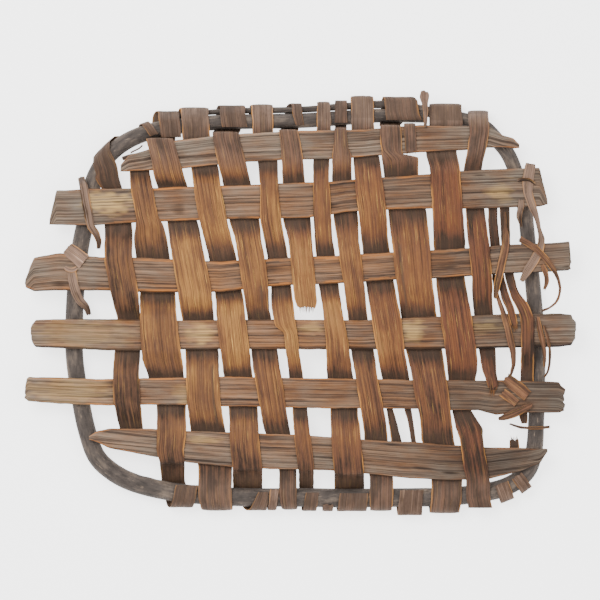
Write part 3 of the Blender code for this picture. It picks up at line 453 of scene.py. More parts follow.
# Where the darkening towards the right end starts along +X, and the length over which it gets full
DARKEN_RIGHT = (-0.02, 0.20)
SLAT_DARK = (38, 28, 22)
SLAT_GREY = (104, 93, 82)
SLAT_SILVER = (156, 144, 128)
SLAT_BROWN = (84, 60, 46)
SLAT_WARM = (152, 104, 66)
SLAT_EDGE = (190, 118, 56)
SLAT_PALE = (196, 158, 96)
# Name: hollow of the knife's cuts, height of the ridges and depth of the cracks in metres, redness,
# how bright its worn edges are, how dark with grime it is all over, how much darker at its right end
SLAT_LOOKS = {
    "slat_1_short_top": (0.0003, 0.00025, 0.0005, 0.25, 0.7, 0.06, 0.10),
    "slat_2_long": (0.0003, 0.00020, 0.0005, 0.35, 1.0, 0.10, 0.12),
    "slat_3_wedge": (0.0004, 0.00015, 0.0004, 0.40, 0.8, 0.08, 0.16),
    "slat_4_round": (0.0008, 0.00050, 0.0012, 0.42, 0.12, 0.00, 0.26),
    "slat_5_long": (0.0004, 0.00030, 0.0006, 0.40, 0.9, 0.00, 0.46),
    "slat_6_short_bottom": (0.0004, 0.00030, 0.0007, 0.22, 0.6, 0.12, 0.34),
}
# Bare pale patches where the outer wood has flaked off: slat, place along +X and +Y, size each way,
# how bare
PALE_PATCHES = (
    ("slat_2_long", -0.190, 0.101, 0.026, 0.013, 0.90),
    ("slat_2_long", 0.201, 0.110, 0.014, 0.008, 0.70),
    ("slat_4_round", -0.098, -0.031, 0.016, 0.012, 0.75),
    ("slat_4_round", 0.010, -0.025, 0.015, 0.006, 0.60),
    ("slat_4_round", 0.113, -0.027, 0.013, 0.011, 1.00),
    ("slat_4_round", 0.186, -0.024, 0.016, 0.007, 0.50),
    ("slat_6_short_bottom", -0.096, -0.137, 0.020, 0.004, 0.60),
    ("slat_5_long", -0.115, -0.099, 0.008, 0.002, 0.60),
    ("slat_3_wedge", -0.183, 0.036, 0.006, 0.003, 0.80),
    ("slat_4_round", -0.215, -0.030, 0.055, 0.016, 0.30),
    ("slat_5_long", -0.230, -0.088, 0.050, 0.018, 0.42),
    ("slat_5_long", -0.105, -0.089, 0.022, 0.010, 0.40),
)


def plate(name, top, bottom, grain, fields, finish, kept=None):
    """A thin closed piece between two grids of points (row, column, xyz). kept says which of the
    cells between them are there, so that a hole goes right through."""
    rows, columns = top.shape[:2]
    kept = np.ones((rows - 1, columns - 1), bool) if kept is None else kept
    at = np.arange(rows * columns).reshape(rows, columns)
    under = at + rows * columns
    a, b, c, d = at[:-1, :-1], at[:-1, 1:], at[1:, 1:], at[1:, :-1]
    e, f, g, h = under[:-1, :-1], under[:-1, 1:], under[1:, 1:], under[1:, :-1]
    framed = np.pad(kept, 1)
    faces = [np.stack([a, b, c, d], -1)[kept], np.stack([h, g, f, e], -1)[kept]]
    for open_side, wall in (
        (framed[:-2, 1:-1], (b, a, e, f)),
        (framed[2:, 1:-1], (d, c, g, h)),
        (framed[1:-1, :-2], (a, d, h, e)),
        (framed[1:-1, 2:], (c, b, f, g)),
    ):
        faces.append(np.stack(wall, -1)[kept & ~open_side])
    faces = np.concatenate(faces)
    used, faces = np.unique(faces, return_inverse=True)
    both = {label: np.concatenate([v.ravel() for v in pair])[used] for label, pair in fields.items()}
    points = np.concatenate([top.reshape(-1, 3), bottom.reshape(-1, 3)])[used]
    doubled = np.concatenate([grain.reshape(-1, 2), grain.reshape(-1, 2) + BACK_GRAIN])[used]
    return mesh_piece(name, points, faces.reshape(-1, 4).tolist(), doubled, both, finish)


def slat_finish():
    made, tree, shader = finish_named("riven slat wood")
    fine, lines = streaks(tree, 9, 1500, 3.0), streaks(tree, 7, 430, 6.0)
    fleck, cloud = streaks(tree, 30, 1300, 3.0), streaks(tree, 26, 60, 4.0)
    tone = field(tree, "tone")
    aged = ramp(tree, lines, ((0.30, SLAT_DARK), (0.47, SLAT_GREY), (0.75, SLAT_SILVER)))
    brown = ramp(tree, lines, ((0.28, SLAT_DARK), (0.45, SLAT_BROWN), (0.72, SLAT_WARM)))
    skin = mix(tree, sums(tree, "ADD", tone, spread(tree, cloud, 0.3, 0.7, -0.50, 0.50), True), aged, brown)
    # Warmer where rubbed and where the middle of the panel is painted brighter as a pool of light.
    rubbed_and_lit = sums(tree, "MULTIPLY", field(tree, "rub_and_highlight"), spread(tree, lines, 0.38, 0.62))
    skin = mix(tree, rubbed_and_lit, skin, colour(SLAT_WARM))
    skin = mix(tree, spread(tree, fine, 0.50, 0.36, 0.0, 0.80), skin, colour(SLAT_DARK))
    skin = mix(tree, spread(tree, fleck, 0.64, 0.76, 0.0, 0.50), skin, colour(SLAT_PALE))
    bare = sums(tree, "MULTIPLY", field(tree, "pale"), spread(tree, fine, 0.40, 0.60, 0.10, 0.95))
    skin = mix(tree, bare, skin, colour(SLAT_PALE))
    edge = sums(tree, "MULTIPLY", field(tree, "edge"), spread(tree, cloud, 0.36, 0.56))
    skin = mix(tree, edge, skin, colour(SLAT_EDGE))
    # Darkened by grime, towards the right ends, and by painted shade on the lower bevels and in the cracks.
    skin = mix(tree, field(tree, "dirt_and_shade"), skin, colour(SLAT_DARK))
    tree.links.new(skin, shader.inputs["Base Color"])
    tree.links.new(spread(tree, fine, 0.3, 0.7, 0.85, 0.62), shader.inputs["Roughness"])
    bump(tree, shader, sums(tree, "ADD", fine, sums(tree, "MULTIPLY", lines, 1.5)), 0.55, 0.0007)
    return made


def bell(distance):
    return np.exp(-distance * distance)


def climb(value, start, over):
    """From 0 at the start to 1 where the value is this much over it."""
    return np.clip((value - start) / over, 0, 1)


def waved(edge, along, seed):
    """A slat's edge with its slow waves and its nicks."""
    edge = edge + EDGE_WAVE * wander(seed, along, EDGE_WAVE_LENGTH)
    return edge + EDGE_NICK * wander(seed + 1, along, EDGE_NICK_LENGTH)


def make_slat(name, finish, seed):
    """A slat between its own solid's two edges, with its bevels, ridges, cracks and torn ends."""
    hollow, ridge, crack, redness, brightened, grime, darken_right = SLAT_LOOKS[name]
    corners = np.array([vert.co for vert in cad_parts[name].data.vertices])
    corners = np.unique(np.round(corners, 6), axis=0)
    stations, at = np.unique(np.round(corners[:, 0], 5), return_inverse=True)
    sections = [corners[at == number] for number in range(len(stations))]
    bed, crown = corners[:, 2].min(), corners[:, 2].max()
    whole = [part for part in sections if len(part) == SLAT_CORNERS]
    spine = np.interp(stations, [part[0, 0] for part in whole], [part[:, 1].mean() for part in whole])
    reaches = [(x, y, part[:, 1].min(), part[:, 1].max()) for x, y, part in zip(stations, spine, sections)]
    low_edge = [(x, lowest) for x, y, lowest, highest in reaches if lowest < y]
    high_edge = [(x, highest) for x, y, lowest, highest in reaches if highest > y]
    along = np.arange(stations[0], stations[-1], SLAT_STEP)
    along[-1] = stations[-1]
    low, high = (np.interp(along, *np.array(edge).T) for edge in (low_edge, high_edge))
    bevel = crown - np.interp(along, stations, [np.median(part[:, 2]) for part in sections])
    low, high = waved(low, along, seed), waved(high, along, seed + 2)
    share = np.linspace(1, -1, SLAT_COLUMNS)
    share = np.sign(share) * np.abs(share) ** SLAT_EDGE_SHARE
    s, v = along[:, None], share[None]
    half = (high - low)[:, None] / 2
    across = half * v
    y = (high + low)[:, None] / 2 + across
    inside = np.clip((half - np.abs(across)) / np.maximum(bevel[:, None], 1e-5), 0, 1)
    z = crown - bevel[:, None] * (1 - inside) ** BEVEL_ROUNDING
    relief = hollow * wander_over(seed + 4, s, across, *HOLLOW_LENGTHS)
    relief = relief + ridge * wander_over(seed + 5, s, across, *RIDGE_LENGTHS)
    z = z + np.minimum(relief - SLAT_SINK * (hollow + ridge), 0) * inside
    split = climb(wander_over(seed + 6, s, across, *CRACK_LENGTHS), CRACK_FROM, 1 - CRACK_FROM) * inside
    z = z - crack * split
    below = bed + BACK_RIDGE * (1 + wander_over(seed + 7, s, across, *BACK_LENGTHS))
    torn = END_RAGGED * wander_over(seed + 8, s * 0, across, *RAGGED_LENGTHS)
    close = np.clip(1 - np.minimum(s - along[0], along[-1] - s) / END_LENGTH, 0, 1)
    end = np.where(s < along.mean(), 1, -1)
    plan_x = s + torn * close * end * np.clip(half / END_HALF_WIDTH, 0, 1) + end * END_DRAWN_IN * close
    top = np.stack([plan_x, y, z], -1)
    bottom = np.stack([plan_x, y, np.minimum(below, z - LEAST_THICKNESS)], -1)
    # The middle of the panel: rubbed, and painted warmer and brighter as a pool of light.
    off_x, off_y = s - SLAT_RUB_AND_LIGHT_PLACE[0], y - SLAT_RUB_AND_LIGHT_PLACE[1]
    middle = bell(off_x / SLAT_RUB_AND_LIGHT_REACH[0]) * bell(off_y / SLAT_RUB_AND_LIGHT_REACH[1])
    rub_and_highlight = 0.9 * middle * (0.6 + 0.4 * wander_over(seed + 9, s, across, *RUB_LENGTHS))
    redder = bell((s - SLAT_RED_PLACE) / SLAT_RED_REACH)
    tone = np.clip(redness + 0.55 * middle + 0.35 * redder - 0.25 * close, 0, 1)
    tone = tone * (0.75 + 0.25 * wander_over(seed + 10, s, across, *TONE_LENGTHS))
    edge = bell((1 - inside) - 0.35) * bell(np.minimum(1 - inside, 0.999) / 0.9) * (inside < 0.98)
    edge = edge * brightened * np.clip(0.25 + middle + 0.5 * wander(seed + 11, s, WORN_LENGTH), 0, 1)
    # Painted shade: the lower bevel is darkened as if lit from above, more so away from the panel's middle,
    # and the cracks are darkened as shade in them.
    dirt_and_shade = 0.85 * (inside < 0.35) * (v < 0) * (0.5 + 0.5 * np.clip(1 - middle, 0, 1)) + 0.7 * split
    darkened = grime + darken_right * climb(s, *DARKEN_RIGHT)
    dirt_and_shade = dirt_and_shade + darkened * (1 + 0.3 * wander_over(seed + 13, s, across, *TONE_LENGTHS))
    pale = np.zeros_like(z)
    for slat, px, py, wide, tall, bare in PALE_PATCHES:
        if slat == name:
            off = np.hypot((s - px) / wide, (y - py) / tall)
            off = off + 0.40 * wander_over(seed + 12, s, y, *FLAKE_LENGTHS)
            pale = np.maximum(pale, bare * np.clip(1.8 - 1.6 * off, 0, 1))
    dull = np.zeros_like(z)
    fields = {
        "rub_and_highlight": (rub_and_highlight, dull),
        "tone": (tone, dull + 0.3),
        "edge": (edge, dull),
        "dirt_and_shade": (np.clip(dirt_and_shade, 0, 1), dull + 0.15),
        "pale": (pale, dull),
    }
    grain = np.stack([plan_x + seed, across + seed * 0.1 + 0 * s], -1)
    piece = plate(name.replace("slat", "slat_riven"), top, bottom, grain, fields, finish)
    fit(piece, "slat_wood", name)


slat_wood = slat_finish()
for number, slat in enumerate(SLAT_LOOKS):
    make_slat(slat, slat_wood, SLAT_SEED + SLAT_SEED_STEP * number)


# The splints. Thin slips of inner bark, peeled wet and woven over and under the slats. They dried
# bowed and cupped. Where each one rides over a slat it is rubbed golden, with a painted highlight on
# the faces turned up, and where it dives under one it is darkened with painted shade and some dirt.
# Their cut edges are pale, and their ends turn round the hoop.

STRIP_CORNERS = 4
CORNER_ANGLE = radians(50)
# A line across a strip is one of its bends where it folds by at least this, in radians, where the
# strip is as thick at both of its ends to within this, in metres, and where it is this square to that
LEAST_BEND = 0.003
ALIKE, SQUARE = 2e-6, 1e-8
BOWING = 4
SPLINT_SEED, SEED_STEP = 200, 17
STRIP_STEP = 0.0014
STRIP_COLUMN = 0.0012
LEAST_COLUMNS, MOST_COLUMNS = 6, 30
STRIP_EDGE_SHARE = 0.86
# The torn ends: the room that they take up in metres, its share of a short strip, and how many
# bundles of fibres tear apart on each side of the middle
TORN_ROOM, TORN_ROOM_SHARE = 0.016, 0.45
TORN_BUNDLES = 9
# How far the edges wave, are nicked and are torn in, then the lengths over which the left and the
# right one do, in metres
STRIP_WAVE, STRIP_WAVE_LENGTHS = 0.00045, (0.022, 0.018)
STRIP_NICK, STRIP_NICK_LENGTHS = 0.00022, (0.004, 0.005)
STRIP_TEAR, STRIP_TEAR_LENGTHS = 0.0007, (0.030, 0.034)
TEAR_FROM, TEAR_SHARPNESS = 0.72, 3
EDGE_IN_SHARE, EDGE_OUT_SHARE = 0.25, 0.2
# How high the bundles and the fibres stand and how far a strip warps, then the lengths along and
# across it over which they change, in metres
BUNDLE, BUNDLE_LENGTHS = 0.00011, (0.045, 0.0021)
FIBRE, FIBRE_LENGTHS = 0.00006, (0.02, 0.0011)
WARP, WARP_LENGTHS = 0.00022, (0.05, 0.03)
# How far a strip is cupped, the width that cups fully, and how its thickness falls to its edges
CUP, CUP_WIDTH = 0.0004, 0.010
EDGE_THICK_SHARE, BODY_THICK_SHARE, EDGE_ROUNDING = 0.30, 0.62, 6
# How far to each side of a slit a strip has its points, and how far it is sunk, as shares of its
# half width
SLIT_POINT_SHARE, SLIT_SUNK_SHARE = 0.02, 0.03
SLIT_DEPTH = 0.0007
SLIT_FADE = 0.004
# The heights at which a strip lies under the slats and over them
UNDER_HEIGHT, OVER_HEIGHT = 0.0185, 0.0265
# Distances up or down from the panel's middle: where the outer slat lies, then where a look starts
# and the length over which it gets full
OUTER_SLAT = (0.138, 0.156)
PAST_SLAT = (0.148, 0.014)
NEAR_RIM = (0.132, 0.024)
HOOP_SHADOW = (0.169, 0.010)
ROUND_HOOP = (0.166, 0.018)
ROUND_TOP = (0.128, 0.020)
SHADE_AND_DIRT_TO, SHADE_AND_DIRT_FADE = 0.182, 0.03
# The middle of the panel as the splints show it, rubbed and painted brighter as a pool of light, and the
# redder ones along +X
RUB_AND_LIGHT_PLACE, RUB_AND_LIGHT_REACH = (-0.045, 0.005), (0.21, 0.17)
RED_PLACE, RED_REACH = 0.13, 0.09
# The lengths along and across a strip over which its rub and painted highlight, its painted shade
# and dirt, and its pale border change
STRIP_RUB_LENGTHS = (0.05, 0.018)
STRIP_SHADE_AND_DIRT_LENGTHS = (0.03, 0.012)
BORDER_LENGTHS = (0.018, 1.0)
# A strip's pale border: the share of its half width where it starts, and over which it gets full
BORDER_SHARES = (0.90, 0.10)
# How rubbed and brightened with painted light a strip is past the outer slat, under it and over it, and
# near the rim
END_RUB_AND_LIGHT, OVER_END_RUB_AND_LIGHT = 0.38, 0.85
RIM_RUB = 0.42
# How dull it is round the hoop at its low end and at the top, how dark the hoop's painted shadow
# is, and how far painted shade and dirt darken it
LOW_END_FADE, TOP_FADE = 0.45, 0.45
HOOP_SHADE = 0.85
SHADE_AND_DIRT_SHARE = 0.72
# Where one strip's grain map starts after another's, so that no two show the same piece of it
GRAIN_ALONG_STEP, GRAIN_ACROSS_STEP = 1.3, 0.11
BARK_SHADE_AND_DIRT = (70, 54, 43)
BARK_DARK = (42, 29, 21)
BARK_DULL = (112, 90, 76)
BARK_MAUVE = (134, 106, 89)
BARK_BROWN = (84, 57, 41)
BARK_RED = (90, 54, 37)
BARK_RUST = (114, 68, 39)
BARK_ORANGE = (115, 77, 46)
BARK_GOLD = (158, 110, 56)
BARK_EDGE = (206, 140, 64)
BARK_FLECK = (230, 178, 88)
# Splint: redness, how golden it is rubbed and lit with a painted highlight, (torn lengths of its low and
# high ends in metres)
SPLINT_LOOKS = {
    "splint_01": (0.05, 0.40, (0.0015, 0.0)),
    "splint_02": (0.15, 0.85, (0.001, 0.002)),
    "splint_03": (0.20, 0.95, (0.0, 0.0)),
    "splint_04": (0.30, 1.00, (0.0, 0.0)),
    "splint_05": (0.35, 0.80, (0.0, 0.0)),
    "splint_06": (0.35, 1.00, (0.0, 0.0)),
    "splint_07": (0.50, 0.90, (0.0035, 0.0)),
    "splint_08": (0.40, 1.00, (0.0, 0.0)),
    "splint_09": (0.30, 0.90, (0.0, 0.0)),
    "splint_10": (0.45, 0.90, (0.002, 0.0)),
    "splint_11": (0.35, 0.90, (0.0, 0.0)),
    "splint_12": (0.85, 0.75, (0.0, 0.0)),
    "splint_13": (0.75, 0.70, (0.009, 0.0)),
}
# Slits along the fibres: splint, place across from -1 to 1, from and to along +Y in metres
SLITS = (
    ("splint_03", 0.62, -0.150, -0.060),
    ("splint_04", -0.55, 0.010, 0.060),
    ("splint_05", 0.45, -0.060, 0.020),
    ("splint_09", -0.30, -0.190, -0.150),
    ("splint_10", 0.35, 0.150, 0.172),
    ("splint_12", -0.15, 0.158, 0.188),
    ("splint_11", -0.62, -0.020, 0.060),
)
# Holes worn through: splint, place (x, y), size across and along in metres
HOLES = (("splint_01", -0.1925, 0.1218, 0.0008, 0.0009),)


def at_share(line, shares):
    run = length_along(line)
    return np.stack([np.interp(shares, run / run[-1], line[:, k]) for k in range(3)], -1)


def strip_rings(node):
    """A bark strip of the frame as (middle, half its width as a vector, normal) and its thickness.
    Its two sides are matched where it bends, and by their lengths between the bends."""
    form = solid_of(node)
    verts = long_edges(form, STRIP_CORNERS, CORNER_ANGLE)
    lines = [np.array([vert.co for vert in line]) for line in verts]
    apart = [
        np.mean([np.linalg.norm(nearest_on(lines[first + 1], point) - point) for point in lines[first]])
        for first in (0, 1)
    ]
    if apart[1] < apart[0]:
        verts, lines = verts[1:] + verts[:1], lines[1:] + lines[:1]
    left_under, left, right, right_under = lines
    place_of = {vert: j for j, vert in enumerate(verts[2])}
    pairs = [(0, 0)]
    for i, vert in enumerate(verts[1]):
        up_left = left[i] - nearest_on(left_under, left[i])
        for edge in vert.link_edges:
            j = place_of.get(edge.other_vert(vert), 0)
            up_right = right[j] - nearest_on(right_under, right[j])
            alike = np.linalg.norm(up_left - up_right) < ALIKE
            level = alike and abs((right[j] - left[i]) @ up_left) < SQUARE
            if level and is_corner(edge, LEAST_BEND) and i > pairs[-1][0] and j > pairs[-1][1]:
                pairs.append((i, j))
    if pairs[-1] != (len(left) - 1, len(right) - 1):
        pairs.append((len(left) - 1, len(right) - 1))
    form.free()
    rows = []
    for (i, j), (next_i, next_j) in zip(pairs, pairs[1:]):
        one, other = left[i : next_i + 1], right[j : next_j + 1]
        if len(one) < 2 or len(other) < 2:
            continue
        runs = [length_along(side) / length_along(side)[-1] for side in (one, other)]
        shares = np.unique(np.round(np.concatenate(runs), 4))
        rows += list(zip(at_share(one, shares), at_share(other, shares)))[:-1]
    rows.append((left[-1], right[-1]))
    middles, halves, normals = [], [], []
    for one, other in rows:
        one_under, other_under = nearest_on(left_under, one), nearest_on(right_under, other)
        middles.append((one + other + one_under + other_under) / 4)
        halves.append((other + other_under - one - one_under) / 4)
        normals.append((one + other - one_under - other_under) / 2)
    middle, half, normal = np.array(middles), np.array(halves), np.array(normals)
    thickness = np.median(np.linalg.norm(normal, axis=1))
    normal /= np.linalg.norm(normal, axis=1)[:, None]
    normal *= np.sign(normal[np.argmax(np.abs(normal[:, 2])), 2])
    ahead = np.gradient(middle, axis=0)
    if (np.cross(ahead, normal) * half).sum() < 0:
        half = -half
    return middle, half, normal, thickness


def strip_line(node):
    """The same, carried on smoothly along the strip, with its bends eased as dry bark bows."""
    middle, half, normal, thickness = strip_rings(node)
    line = smooth_along(np.column_stack([middle, half, normal]), STRIP_STEP)
    for _ in range(BOWING):
        eased = (line[:-2] + 2 * line[1:-1] + line[2:]) / 4
        line[1:-1, :3], line[1:-1, 6:] = eased[:, :3], eased[:, 6:]
    normal = line[:, 6:] / np.linalg.norm(line[:, 6:], axis=1)[:, None]
    return line[:, :3], line[:, 3:6], normal, thickness


def torn_run(run, v, torn, seed):
    """How far along the strip each column lies once its ends are torn back by up to these lengths."""
    reach = run[-1]
    room = min(TORN_ROOM, TORN_ROOM_SHARE * reach)
    bundle = np.round(v * TORN_BUNDLES)
    spikes = 0.5 + 0.5 * chance(seed, bundle) * 0.6 + 0.2 * wander(seed + 1, v, 0.3)
    low = torn[0] * np.clip(spikes, 0, 1)
    high = torn[1] * np.clip(0.5 + 0.5 * chance(seed + 2, bundle), 0, 1)
    s = run[:, None] + 0 * v[None]
    near, far = np.clip(1 - s / room, 0, 1), np.clip(1 - (reach - s) / room, 0, 1)
    return s + low * near - high * far


def at_run(run, values, wanted):
    return np.stack([np.interp(wanted, run, values[:, k]) for k in range(values.shape[1])], -1)


def slit_depth(y, v, slits):
    """How far each point lies in a slit along the fibres, 0 to 1, fading out towards its two ends."""
    depth = np.zeros_like(y)
    for place, low, high in slits:
        inside = np.clip(np.minimum(y - low, high - y) / SLIT_FADE, 0, 1)
        depth = np.maximum(depth, inside * (np.abs(v - place) < SLIT_SUNK_SHARE))
    return depth


def along_edges(seed, s, lengths):
    """Smooth random values along a strip's two edges, each over its own length."""
    return np.stack([wander(seed, s[:, 0], lengths[0]), wander(seed + 1, s[:, -1], lengths[1])], -1)


def frayed_edges(s, wide, seed):
    """How far each edge of a strip stands out of true: its waves, its nicks and its small tears."""
    frayed = STRIP_WAVE * along_edges(seed + 3, s, STRIP_WAVE_LENGTHS)
    frayed = frayed + STRIP_NICK * along_edges(seed + 5, s, STRIP_NICK_LENGTHS)
    tears = np.clip(along_edges(seed + 7, s, STRIP_TEAR_LENGTHS) - TEAR_FROM, 0, 1)
    frayed = frayed - STRIP_TEAR * tears * TEAR_SHARPNESS
    return np.clip(frayed, -EDGE_IN_SHARE * wide.min(), EDGE_OUT_SHARE * wide.min())


def strip_wear(place, up, along, across, v, split, redness, gold, seed):
    """A strip's fields: rubbed golden where it rides high, with a painted highlight that fades as its face
    tilts away from +Z; painted shade with some dirt where it dives, and a painted shadow where the hoop
    shades it and in its slits; pale at its cut borders; and dull where it turns round the hoop, with
    painted shade where its face tilts away from +Z."""
    x, y, z = (place[..., k] for k in range(3))
    height = climb(z, UNDER_HEIGHT, OVER_HEIGHT - UNDER_HEIGHT)
    height = height * height * (3 - 2 * height)
    out = np.abs(y)
    rides = np.zeros_like(y)
    for one_side in (y < 0, y >= 0):
        on_slat = one_side & (out > OUTER_SLAT[0]) & (out < OUTER_SLAT[1])
        if on_slat.any():
            rides = np.where(one_side, height[on_slat].max(), rides)
    # Past the outer slat the strip is painted as bright as where it rides high, though it dives there, and
    # its painted shade is taken off.
    past_slat = climb(out, *PAST_SLAT)
    height = np.maximum(height, past_slat * (END_RUB_AND_LIGHT + (OVER_END_RUB_AND_LIGHT - END_RUB_AND_LIGHT) * rides))
    off_x, off_y = x - RUB_AND_LIGHT_PLACE[0], y - RUB_AND_LIGHT_PLACE[1]
    middle_of_panel = bell(off_x / RUB_AND_LIGHT_REACH[0]) * bell(off_y / RUB_AND_LIGHT_REACH[1])
    # Rub with a painted highlight: golden where the strip rides high, most in the panel's middle, less
    # where its face tilts away from +Z.
    rub_and_highlight = height * (0.30 + 0.70 * middle_of_panel) * gold * np.clip(up[..., 2], 0.3, 1)
    rub_and_highlight = rub_and_highlight * (1 - (1 - RIM_RUB) * climb(out, *NEAR_RIM))
    rub_and_highlight = np.clip(rub_and_highlight * (0.85 + 0.3 * wander_over(seed + 12, along, across, *STRIP_RUB_LENGTHS)), 0, 1)
    tone = np.clip(redness + 0.25 * bell((x - RED_PLACE) / RED_REACH) + 0 * z, 0, 1)
    # Painted shade with some dirt: darker the lower the strip lies, where it dives under the slats.
    patchy = 0.25 * wander_over(seed + 13, along, across, *STRIP_SHADE_AND_DIRT_LENGTHS)
    dirt_and_shade = np.clip(1 - 1.5 * height - patchy, 0, 1)
    near_middle = np.clip((SHADE_AND_DIRT_TO - out) / SHADE_AND_DIRT_FADE, 0, 1)
    dirt_and_shade = dirt_and_shade * np.clip(0.55 + 0.45 * middle_of_panel, 0, 1) * near_middle
    # The hoop's painted shadow on strips that pass behind it, and painted shade in the slits.
    hoop_shade = HOOP_SHADE * rides * climb(out, *HOOP_SHADOW) * (z < UNDER_HEIGHT)
    dirt_and_shade = np.maximum(np.maximum(dirt_and_shade * (1 - past_slat * rides), hoop_shade), split)
    bright = wander_over(seed + 14, along, np.sign(v[None]), *BORDER_LENGTHS)
    border = climb(np.abs(v[None]), *BORDER_SHARES) * np.clip(0.22 + 0.90 * bright, 0, 1)
    turned = climb(out, *ROUND_HOOP) * np.where(y > 0, 1.0, LOW_END_FADE)
    turned = np.maximum(turned, TOP_FADE * climb(y, *ROUND_TOP))
    dull = np.zeros_like(z)
    return {
        "rub_and_highlight": (rub_and_highlight, dull),
        "tone": (tone, tone * 0.6),
        "dirt_and_shade": (dirt_and_shade, dull + 0.25),
        "edge": (border, border * 0.6),
        # rim: dull where the strip turns round the hoop and at the top, plus painted shade that dulls it
        # the more its face tilts away from +Z.
        "rim": (np.clip(1 - (0.5 + 0.5 * up[..., 2]) + turned, 0, 1), dull + 0.5),
    }


def make_strip(name, node, slot, finish, seed, redness, torn, gold=1.0, slits=(), holes=()):
    """A strip of bark along its own solid's middle line: cupped, thin at its frayed edges, torn at
    its ends and ridged with fibres."""
    middle, half, normal, thickness = strip_line(node)
    run = length_along(middle)
    width = 2 * np.linalg.norm(half, axis=1)
    columns = int(np.clip(round(width.mean() / STRIP_COLUMN), LEAST_COLUMNS, MOST_COLUMNS))
    v = np.linspace(-1, 1, columns)
    v = np.sign(v) * np.abs(v) ** STRIP_EDGE_SHARE
    for place, *_ in slits:
        near = int(np.clip(np.searchsorted(v, place) - 1, 1, columns - 3))
        v[near], v[near + 1] = place - SLIT_POINT_SHARE, place + SLIT_POINT_SHARE
    s = torn_run(run, v, torn, seed)
    place, side, up = at_run(run, middle, s), at_run(run, half, s), at_run(run, normal, s)
    up /= np.linalg.norm(up, axis=2)[..., None]
    wide = np.linalg.norm(side, axis=2)
    along, across = s, v[None] * wide
    frayed = frayed_edges(s, wide, seed)
    shift = np.where(v < 0, -frayed[:, :1], frayed[:, 1:]) * np.abs(v) ** 2
    unit = side / np.maximum(wide, 1e-6)[..., None]
    place = place + side * v[None, :, None] + unit * shift[..., None]
    fibres = BUNDLE * wander_over(seed + 9, along, across, *BUNDLE_LENGTHS)
    fibres = fibres + FIBRE * wander_over(seed + 10, along, across, *FIBRE_LENGTHS)
    warp = WARP * wander_over(seed + 11, along, across, *WARP_LENGTHS)
    bow = CUP * (0.35 - v[None] ** 2) * np.clip(wide / CUP_WIDTH, 0.2, 1)
    body = 1 - np.abs(v[None]) ** EDGE_ROUNDING
    thick = thickness / 2 * (EDGE_THICK_SHARE + BODY_THICK_SHARE * body)
    lift = bow + warp
    top = place + up * (lift + thick + fibres)[..., None]
    bottom = place + up * (lift - thick + 0.7 * fibres)[..., None]
    split = slit_depth(place[..., 1], v[None], slits)
    top = top - up * (SLIT_DEPTH * split)[..., None]
    kept = np.ones((len(s) - 1, columns - 1), bool)
    for hole_x, hole_y, across_it, along_it in holes:
        off = np.hypot((place[..., 0] - hole_x) / across_it, (place[..., 1] - hole_y) / along_it)
        kept &= (off[:-1, :-1] + off[1:, 1:]) / 2 > 1
    fields = strip_wear(place, up, along, across, v, split, redness, gold, seed)
    grain = np.stack([along + GRAIN_ALONG_STEP * seed, across + GRAIN_ACROSS_STEP * seed], -1)
    fit(plate(name, top, bottom, grain, fields, finish, kept), slot, node)


def bark_finish(name, dull, plain_stops, red_stops, sheen_low, sheen_high):
    """Bark from dark to rubbed with a painted highlight, plain or red, with a dull rim that carries
    painted shade on tilted faces, dirt with painted shade, bright flecks and pale edges.
    """
    made, tree, shader = finish_named(name)
    fine, strand = streaks(tree, 8, 1400, 3.0), streaks(tree, 9, 430, 6.0)
    cloud, fleck = streaks(tree, 34, 75, 5.0), streaks(tree, 26, 1400, 3.0)
    rub_and_highlight, tone, rim = field(tree, "rub_and_highlight"), field(tree, "tone"), field(tree, "rim")
    level = sums(tree, "ADD", rub_and_highlight, spread(tree, strand, 0.30, 0.70, -0.30, 0.30))
    level = sums(tree, "ADD", level, spread(tree, cloud, 0.3, 0.7, -0.24, 0.24), True)
    skin = mix(tree, tone, ramp(tree, level, plain_stops), ramp(tree, level, red_stops))
    # Dulled near the rim and round the hoop, and with painted shade where the face tilts away from +Z.
    dulled = sums(tree, "MULTIPLY", rim, spread(tree, cloud, 0.35, 0.6, 0.45, 0.95))
    skin = mix(tree, dulled, skin, colour(dull))
    skin = mix(tree, spread(tree, fine, 0.50, 0.37, 0.0, 0.80), skin, colour(BARK_DARK))
    # Painted shade and dirt darken it.
    darkened = sums(tree, "MULTIPLY", field(tree, "dirt_and_shade"), SHADE_AND_DIRT_SHARE)
    skin = mix(tree, darkened, skin, colour(BARK_SHADE_AND_DIRT))
    flecks = sums(tree, "MULTIPLY", spread(tree, fleck, 0.60, 0.72), sums(tree, "ADD", rub_and_highlight, 0.10, True))
    skin = mix(tree, sums(tree, "MULTIPLY", flecks, 0.85), skin, colour(BARK_FLECK))
    edge = sums(tree, "MULTIPLY", field(tree, "edge"), spread(tree, strand, 0.35, 0.60, 0.2, 1.0))
    skin = mix(tree, edge, skin, colour(BARK_EDGE))
    tree.links.new(skin, shader.inputs["Base Color"])
    sheen = spread(tree, fine, 0.3, 0.7, sheen_low, sheen_high)
    rough = sums(tree, "SUBTRACT", sheen, sums(tree, "MULTIPLY", rub_and_highlight, 0.10))
    tree.links.new(rough, shader.inputs["Roughness"])
    bump(tree, shader, sums(tree, "ADD", fine, sums(tree, "MULTIPLY", strand, 1.3)), 0.6, 0.0006)
    return made


